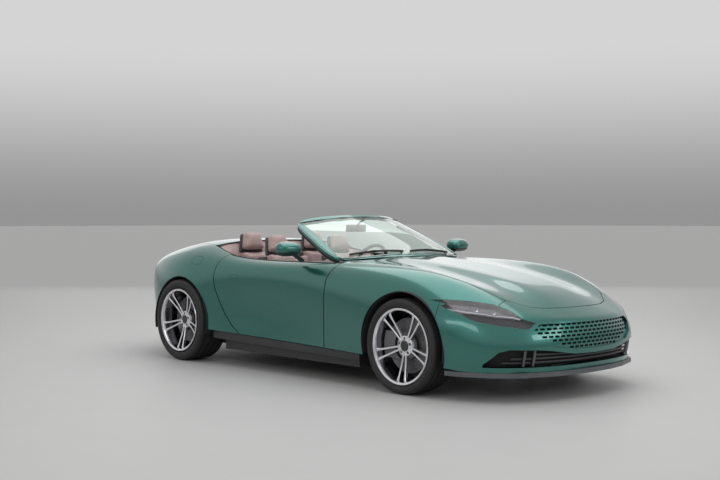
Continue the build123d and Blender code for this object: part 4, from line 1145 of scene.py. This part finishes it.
def makeWindscreen():
    covers = [pillarTube(side, (-0.004, -0.020, -0.014), 0.0185, 16, 1.25) for side in (-1, 1)]
    hoop = joined("hoop", [screenLayer(0.018, 0, 0.010, "DIFFERENCE")] + covers)
    lining = screenLayer(0.010, 0.0185, -0.004, "DIFFERENCE")
    glass = screenLayer(0.005, 0.002, 0.0006)
    border = boolean(screenLayer(0.002, 0.0075, 0.0006), screenPrism(0.020))
    seals = [pillarTube(side, (-0.012, -0.012, -0.028), 0.012, 10, 1.3) for side in (-1, 1)]
    loop = screenOutline(0.001)
    seals.append(pathTube([onScreen(x, y, 0.0008) for x, y in loop + loop[:1]], 0.0035, 6))
    dress(smooth(hoop), "screen_hoop", paint, "root", "body_paint", "windscreen_frame")
    dress(smooth(lining), "screen_lining", liningGrey, "root", "dark_leather")
    dress(smooth(glass), "screen_pane", screenGlass, "root", "screen_glass", "windscreen")
    dress(smooth(border), "screen_border", screenSeal, "root", "black_trim")
    dress(smooth(joined("seals", seals)), "screen_seals", screenSeal, "root", "black_trim")


def makeWipers():
    parts = []
    for start, end, (x, y) in (((0.440, -0.575), (0.520, -0.06), (0.548, -0.10)),
                               ((0.522, 0.02), (0.462, 0.53), (0.508, 0.46))):
        steps = [Vector(start).lerp(Vector(end), step / 10) for step in range(11)]
        middle = steps[4]
        arm = [Vector((x, y, 0.918)), onScreen(x - 0.035, y, 0.018), onScreen(middle.x - 0.008, middle.y, 0.016)]
        parts.append(pathTube([onScreen(p.x - 0.010, p.y, 0.007) for p in steps], 0.0055, 8, 1.6))
        parts.append(pathTube(arm, 0.007, 8, 0.7))
        parts.append(beveled(cylinder(0.013, (x, y, 0.895), (x, y, 0.925), 24), 0.003, 2))
    return joined("wipers", parts)


def makeInteriorMirror():
    spot = Vector((along(-1446), 0, 1.150))
    tilt = Matrix.Rotation(math.radians(8), 4, "Y")
    head = padBlock((0.022, 0.225, 0.062), 0.010, Matrix.Translation(spot) @ tilt)
    modify(head, "SUBSURF", levels=2)
    stalk = [spot + Vector((0.004, 0, 0.01)), spot + Vector((0.045, 0, 0.05)), onScreen(0.02, 0, -0.006)]
    pane = padBlock((0.002, 0.205, 0.048), 0.0008, Matrix.Translation(spot - Vector((0.0115, 0, 0.0015))) @ tilt)
    return joined("insideMirror", [head, pathTube(stalk, 0.008)]), pane


makeWindscreen()
dress(makeWipers(), "wipers", satinBlack, "root", "black_trim")
mirrorHead, mirrorPane = makeInteriorMirror()
dress(mirrorHead, "inside_mirror", liningGrey, "root", "black_trim")
dress(mirrorPane, "inside_mirror_glass", mirrorGlass, "root", "black_trim")


# ---- door mirrors ----
def makeDoorMirror():
    spot = Vector((along(-1165), -0.985, 0.997))
    half = {"x": 0.074, "y": 0.108, "z": 0.056}
    split, slit = spot.z - 0.024, 0.0005
    bpy.ops.mesh.primitive_uv_sphere_add(segments=64, ring_count=40, radius=1)
    body = bpy.context.object
    for vertex in body.data.vertices:
        x, y, z = [math.copysign(abs(value) ** 0.78, value) for value in vertex.co]
        x, z = x * (1 + 0.16 * y), z * (1 - 0.10 * x)
        vertex.co = spot + Vector((max(x, -0.62) * half["x"], y * half["y"], z * half["z"]))
    lower = copyOf(body, "mirrorBase")
    around = Vector((0.2, 0.2, 0.2))
    boolean(body, box(spot - around, (spot.x + 0.2, spot.y + 0.2, split)))
    boolean(lower, box((spot.x - 0.2, spot.y - 0.2, split - slit), spot + around))
    pane = box(spot - Vector((0.049, 0.080, 0.030)), spot + Vector((-0.044, 0.080, 0.036)))
    # the foot: (y, z, half-width, half-height) stations of an eight-cornered section
    corners = [(-1, -0.5), (-0.5, -1), (0.5, -1), (1, -0.5), (1, 0.5), (0.5, 1), (-0.5, 1), (-1, 0.5)]
    stations = [(-0.955, 0.962, 0.036, 0.012), (-0.915, 0.948, 0.032, 0.012), (-0.870, 0.925, 0.036, 0.013),
                (-0.838, 0.900, 0.044, 0.016)]
    foot = tube([[(spot.x + a * wide, y, z + b * tall) for a, b in corners] for y, z, wide, tall in stations])
    base = joined("base", [smooth(lower, 35), soften(foot, 2, 40)])
    return {"cap": (smooth(body, 35), paint, "body_paint"), "base": (base, satinBlack, "black_trim"),
            "pane": (beveled(pane, 0.002, 2), mirrorGlass, "black_trim")}


for part, (piece, mat, slotName) in makeDoorMirror().items():
    node = "door_mirror_{}" if part == "cap" else ""
    dressPair(piece, "door_mirror_" + part, mat, slotName, "door", node, sharpEdged)
print("screen and mirrors made")


# ---- seats ----
def narrowed(pad, sideways, lengthways=0.0):
    # the pad gets slimmer towards its top
    for vertex in pad.data.vertices:
        share = vertex.co.z / 0.15
        vertex.co.y *= 1 - sideways * share
        vertex.co.x *= 1 - lengthways * share
    return pad


def makeSeat(front, back, width, lean, height, nodeName):
    y, low, floorZ = -0.360, 0.345, 0.161
    length = front - back
    middle = back + length / 2 + 0.01
    # the back is made upright at the origin and then leaned back on its foot
    frameAt = Matrix.Translation((back, y, low + 0.075)) @ Matrix.Rotation(math.radians(-lean), 4, "Y")

    def onFrame(x, sideways, z):
        return frameAt @ Matrix.Translation((x, sideways, z))

    cushion = inflate(padBlock((length - 0.045, width - 0.175, 0.105), 0.03, (middle, y, 0.405)), 0.014)
    bolsters, wings = [], []
    for side in (-1, 1):
        spot = (middle, y + side * (width / 2 - 0.044), 0.408)
        bolsters.append(soften(padBlock((length - 0.03, 0.082, 0.135), 0.03, spot), 2, 60))
    backrest = inflate(padBlock((0.075, width - 0.165, height - 0.05), 0.028, onFrame(0.008, 0, height / 2 + 0.015)),
                       0.014)
    for side in (-1, 1):
        wing = padBlock((0.115, 0.078, height - 0.10))
        for vertex in wing.data.vertices:
            share = vertex.co.z / height + 0.5
            vertex.co.y -= side * 0.040 * max(0, share - 0.55) / 0.45
            vertex.co.x -= 0.025 * max(0, share - 0.5)
        wing.data.transform(onFrame(0, side * (width / 2 - 0.042), height / 2 - 0.01))
        wings.append(soften(wing, 2, 60))
    head = narrowed(padBlock((0.072, 0.205, 0.152), 0.034), 0.36, 0.25)
    head.data.transform(onFrame(0.014, 0, height + 0.085))
    headrest = inflate(head, 0.012, 4.0, 0.005)
    rear = padBlock((0.030, width - 0.05, height - 0.03), 0.012, onFrame(-0.045, 0, height / 2))
    collar = narrowed(padBlock((0.034, 0.222, 0.165), 0.015), 0.36)
    collar.data.transform(onFrame(-0.028, 0, height + 0.075))
    base = beveled(box((back + 0.03, y - 0.17, floorZ), (front - 0.07, y + 0.17, 0.350)), 0.012, 3)
    hard = joined("seatShell", [soften(rear, 1), soften(collar, 1), base])
    return {"cushion": (cushion, 0.8, nodeName), "bolsters": (joined("bolsters", bolsters), 0.85, ""),
            "backrest": (backrest, 0.8, ""), "wings": (joined("wings", wings), 0.85, ""),
            "headrest": (headrest, 0.85, ""), "shell": (hard, None, "")}


for kind, sizes in (("front", (along(-1385), along(-1850), 0.456, 20, 0.545, "front_seat_{}")),
                    ("rear", (along(-2015), along(-2298), 0.430, 12, 0.540, "rear_seat"))):
    for part, (piece, fill, node) in makeSeat(*sizes).items():
        mat, slotName = (seatLeather, "seat_leather") if fill else (darkLeather, "dark_leather")
        pair = dressPair(piece, kind + "_seat_" + part, mat, slotName, "root", node)
    print(kind, "seats made")


# ---- cabin ----
def makeDashboard():
    line = [(-925, 650), (-925, 868), (-1060, 893), (-1230, 896), (-1360, 876), (-1415, 835), (-1415, 765),
            (-1340, 735), (-1290, 640)]
    hood = padBlock((0.16, 0.34, 0.05), 0.022, (along(-1330), 0.370, 0.900))
    return joined("dashboard", [sideBlock(line, 0.735, 0.25, 4, 0.010), soften(hood)])


def makeDashDetails():
    front, rear = along(-1405), along(-1423)
    band = sidePrism([(along(x), z) for x, z in ((-1417, 0.775), (-1417, 0.822), (-1410, 0.822), (-1410, 0.775))],
                     -0.70, 0.70)
    screen = beveled(box((along(-1424), -0.145, 0.700), (front, 0.145, 0.850)), 0.004, 3)
    vents = [beveled(cylinder(0.032, (rear, y, 0.798), (front, y, 0.798), 40), 0.004, 2)
             for y in (-0.64, -0.22, 0.22, 0.62)]
    return joined("dashBand", [beveled(band, 0.002, 2), screen]), joined("vents", vents)


def makeConsole():
    line = [(-935, 162), (-935, 600), (-1250, 596), (-1480, 556), (-1780, 556), (-1985, 560), (-2025, 520),
            (-2025, 162)]
    body = sideBlock(line, 0.116, 0.2, 3, 0.012)
    boolean(body, box((-3, -0.086, 0.0), (1, 0.086, 0.346)))
    panelTop = beveled(box((along(-1560), -0.070, 0.5535), (along(-1290), 0.070, 0.5635)), 0.003, 2)
    lever = beveled(box((along(-1430), -0.020, 0.560), (along(-1385), 0.020, 0.625)), 0.010, 3)
    rest = soften(padBlock((0.30, 0.19, 0.05), 0.02, (along(-1790), 0, 0.570)))
    return body, joined("consoleTop", [panelTop, lever]), rest


def makeSteeringWheel():
    radius, grip, tilt = 0.182, 0.0155, math.radians(24)
    centre = jointAt["steering_wheel_turn"]
    axis = Vector((-math.cos(tilt), 0, math.sin(tilt)))
    lift = Vector((math.sin(tilt), 0, math.cos(tilt)))
    bpy.ops.mesh.primitive_torus_add(major_segments=96, minor_segments=20, major_radius=radius, minor_radius=grip)
    parts = [smooth(bpy.context.object, 180), soften(padBlock((0.125, 0.105, 0.040), 0.022), 2, 60)]
    for angle, width in ((4, 0.034), (176, 0.034), (270, 0.045)):
        outward = Matrix.Rotation(math.radians(angle), 4, "Z") @ Matrix.Translation(((radius + 0.045) / 2, 0, -0.002))
        parts.append(soften(padBlock((radius - 0.045, width, 0.014), 0.006, outward), 1, 60))
    parts.append(beveled(cylinder(0.0235, (0, 0, -0.27), (0, 0, -0.018), 40), 0.003, 2))
    parts.append(beveled(cylinder(0.042, (0, 0, -0.16), (0, 0, -0.035), 40), 0.012, 3))
    turn = axis.to_track_quat("Z", "Y")
    upright = turn @ Vector((0, 1, 0))
    roll = math.atan2(upright.cross(lift).dot(axis), upright.dot(lift))
    for part in parts:
        part.data.transform(Matrix.Translation(centre) @ turn.to_matrix().to_4x4() @ Matrix.Rotation(roll, 4, "Z"))
    return joined("steeringWheel", parts)


def acrossCabin(row):
    return row + [Vector((p.x, -p.y, p.z)) for p in reversed(row[:-1])]


def makeSwoop():
    # leather beside and behind the rear seats, from the body's edge down into the cabin
    edge = [(-2030, -776), (-2100, -774), (-2200, -758), (-2300, -740), (-2400, -712), (-2462, -676), (-2486, -600),
            (-2490, -450), (-2490, -225), (-2490, 0)]
    middle = [(-2030, -752, 832), (-2090, -738, 832), (-2180, -706, 846), (-2270, -676, 874), (-2350, -640, 905),
              (-2400, -590, 925), (-2425, -520, 940), (-2432, -420, 945), (-2432, -210, 948), (-2432, 0, 950)]
    low = [(-2030, -738), (-2090, -700), (-2180, -634), (-2260, -612), (-2340, -600), (-2385, -560), (-2405, -490),
           (-2410, -400), (-2410, -200), (-2410, 0)]
    edge = [(along(x), y * mm) for x, y in edge]
    rows = [[beltPoint(x, y, 0.010) for x, y in edge],
            [beltPoint(x, y, 0.026) + Vector((0.012, 0.012 if y else 0, 0)) for x, y in edge],
            [place(*point) for point in middle], [place(x, y, 700) for x, y in low],
            [place(x, y * 0.985, 420) for x, y in low]]
    sheet = grid("swoop", [acrossCabin(row) for row in rows])
    modify(sheet, "SUBSURF", levels=3, render_levels=3)
    edit(sheet, (bpy.ops.mesh.normals_make_consistent, {"inside": False}))
    if sheet.data.polygons[len(sheet.data.polygons) // 2].normal.x < 0:
        sheet.data.flip_normals()
    modify(sheet, "SOLIDIFY", thickness=0.006, offset=-1)
    return smooth(sheet, 60), pathTube(acrossCabin([beltPoint(x, y, 0.004) for x, y in edge]), 0.006, 8)


def makeRearWall():
    # wall under the deck, behind the leather
    return joined("rearWall", [box((along(-2585), -half, low), (along(-2562), half, 0.945))
                               for half, low in ((0.58, 0.50), (0.678, 0.80))])


def makeCarpet():
    mats = []
    for side in (-1, 1):
        inner, outer = sorted((side * 0.125, side * 0.735))
        mats.append(beveled(box((along(-2010), inner, 0.161), (along(-935), outer, 0.172)), 0.003, 2))
    return joined("carpet", mats)


dress(makeDashboard(), "dash_top", dashLeather, "root", "dark_leather", "dashboard")
dashBand, vents = makeDashDetails()
dress(dashBand, "dash_band", glossBlack, "root", "black_trim")
dress(vents, "dash_vents", chrome, "root", "black_trim")
consoleBody, consoleTop, consolePad = makeConsole()
dress(consoleBody, "console_body", dashLeather, "root", "dark_leather", "centre_console")
dress(consoleTop, "console_top", glossBlack, "root", "black_trim")
dress(consolePad, "console_pad", seatLeather, "root", "seat_leather")
dress(makeSteeringWheel(), "wheel_grip", darkLeather, "steering_wheel", "dark_leather", "steering_wheel")
swoop, deckSeal = makeSwoop()
dress(swoop, "rear_swoop", seatLeather, "root", "seat_leather", "cabin_trim")
dress(deckSeal, "deck_seal", satinBlack, "root", "black_trim")
dress(makeRearWall(), "rear_wall", satinBlack, "root", "black_trim")
dress(makeCarpet(), "floor_carpet", carpet, "root", "boot_lining")
print("cabin made")


# ---- finishes of the CAD pieces that show as they are ----
plain = {"floor_pan": dullBlack, "firewall": satinBlack, "powertrain": castSteel, "suspension": castSteel,
         "front_knuckle_left": castSteel, "front_knuckle_right": castSteel, "wheel_liners": dullBlack,
         "boot_tub": carpet, "sills": satinBlack, "rear_diffuser": satinBlack, "exhaust": castSteel,
         "front_splitter": splitterGrey}
for name, mat in plain.items():
    node = frame["nodes"][name]
    node.data.materials.clear()
    node.data.materials.append(mat)
remove(screenSurface, shell)
print("CAD pieces finished")


# ---- studio ----
def makeFloor():
    floorTone = (0.50, 0.50, 0.495)
    bpy.ops.mesh.primitive_plane_add(size=400)
    floor = bpy.context.object
    floor.name = "floor"
    mat = material("floorFinish", floorTone, 0.55)
    patches = texture(mat, "ShaderNodeTexNoise", 3, Detail=3.0)
    varyColor(mat, patches.outputs["Fac"], 0.35, 0.65, [c * 0.985 for c in floorTone], floorTone)
    floor.data.materials.append(mat)


def makeBackdrop():
    # paler with height, so that the floor runs into the backdrop
    sky = {"strength": 0.66, "horizon": 0.45, "whiteFrom": 0.16}
    world = bpy.context.scene.world or bpy.data.worlds.new("World")
    bpy.context.scene.world = world
    world.use_nodes = True
    nodes, links = world.node_tree.nodes, world.node_tree.links
    background = nodes["Background"]
    background.inputs["Strength"].default_value = sky["strength"]
    direction, split = nodes.new("ShaderNodeTexCoord"), nodes.new("ShaderNodeSeparateXYZ")
    ramp = nodes.new("ShaderNodeValToRGB")
    links.new(direction.outputs["Generated"], split.inputs["Vector"])
    links.new(split.outputs["Z"], ramp.inputs["Fac"])
    links.new(ramp.outputs["Color"], background.inputs["Color"])
    ramp.color_ramp.interpolation = "EASE"
    ramp.color_ramp.elements[0].color = (*[sky["horizon"]] * 3, 1)
    ramp.color_ramp.elements[1].position = sky["whiteFrom"]


def makeLamps():
    target = Vector((0, 0, 0.4))
    lamps = {"overhead": ((0.3, 0.4, 4.8), (8.0, 4.5), 150), "side": ((2.5, -7.5, 3.4), (5, 1.2), 45),
             "front": ((8.5, 1.5, 3.0), (4, 1.5), 60), "back": ((-7.5, 7.0, 3.2), (12, 4.5), 85)}
    for name, (spot, size, power) in lamps.items():
        bpy.ops.object.light_add(type="AREA", location=spot)
        lamp = bpy.context.object
        lamp.name = name
        lamp.data.shape = "RECTANGLE"
        lamp.data.size, lamp.data.size_y = size
        lamp.data.energy = power
        lamp.visible_camera = False
        lamp.rotation_euler = (target - Vector(spot)).to_track_quat("-Z", "Y").to_euler()


def makeCamera():
    shot = {"spot": (6.751, -6.427, 1.222), "azimuth": 46.65, "down": 1.04, "lens": 55.2}
    bpy.ops.object.camera_add(location=shot["spot"])
    camera = bpy.context.object
    camera.rotation_euler = (math.radians(90 - shot["down"]), 0, math.radians(shot["azimuth"]))
    camera.data.lens = shot["lens"]
    camera.data.sensor_width = 36
    bpy.context.scene.camera = camera


makeFloor()
makeBackdrop()
makeLamps()
makeCamera()
bpy.context.scene.view_settings.view_transform = "Standard"
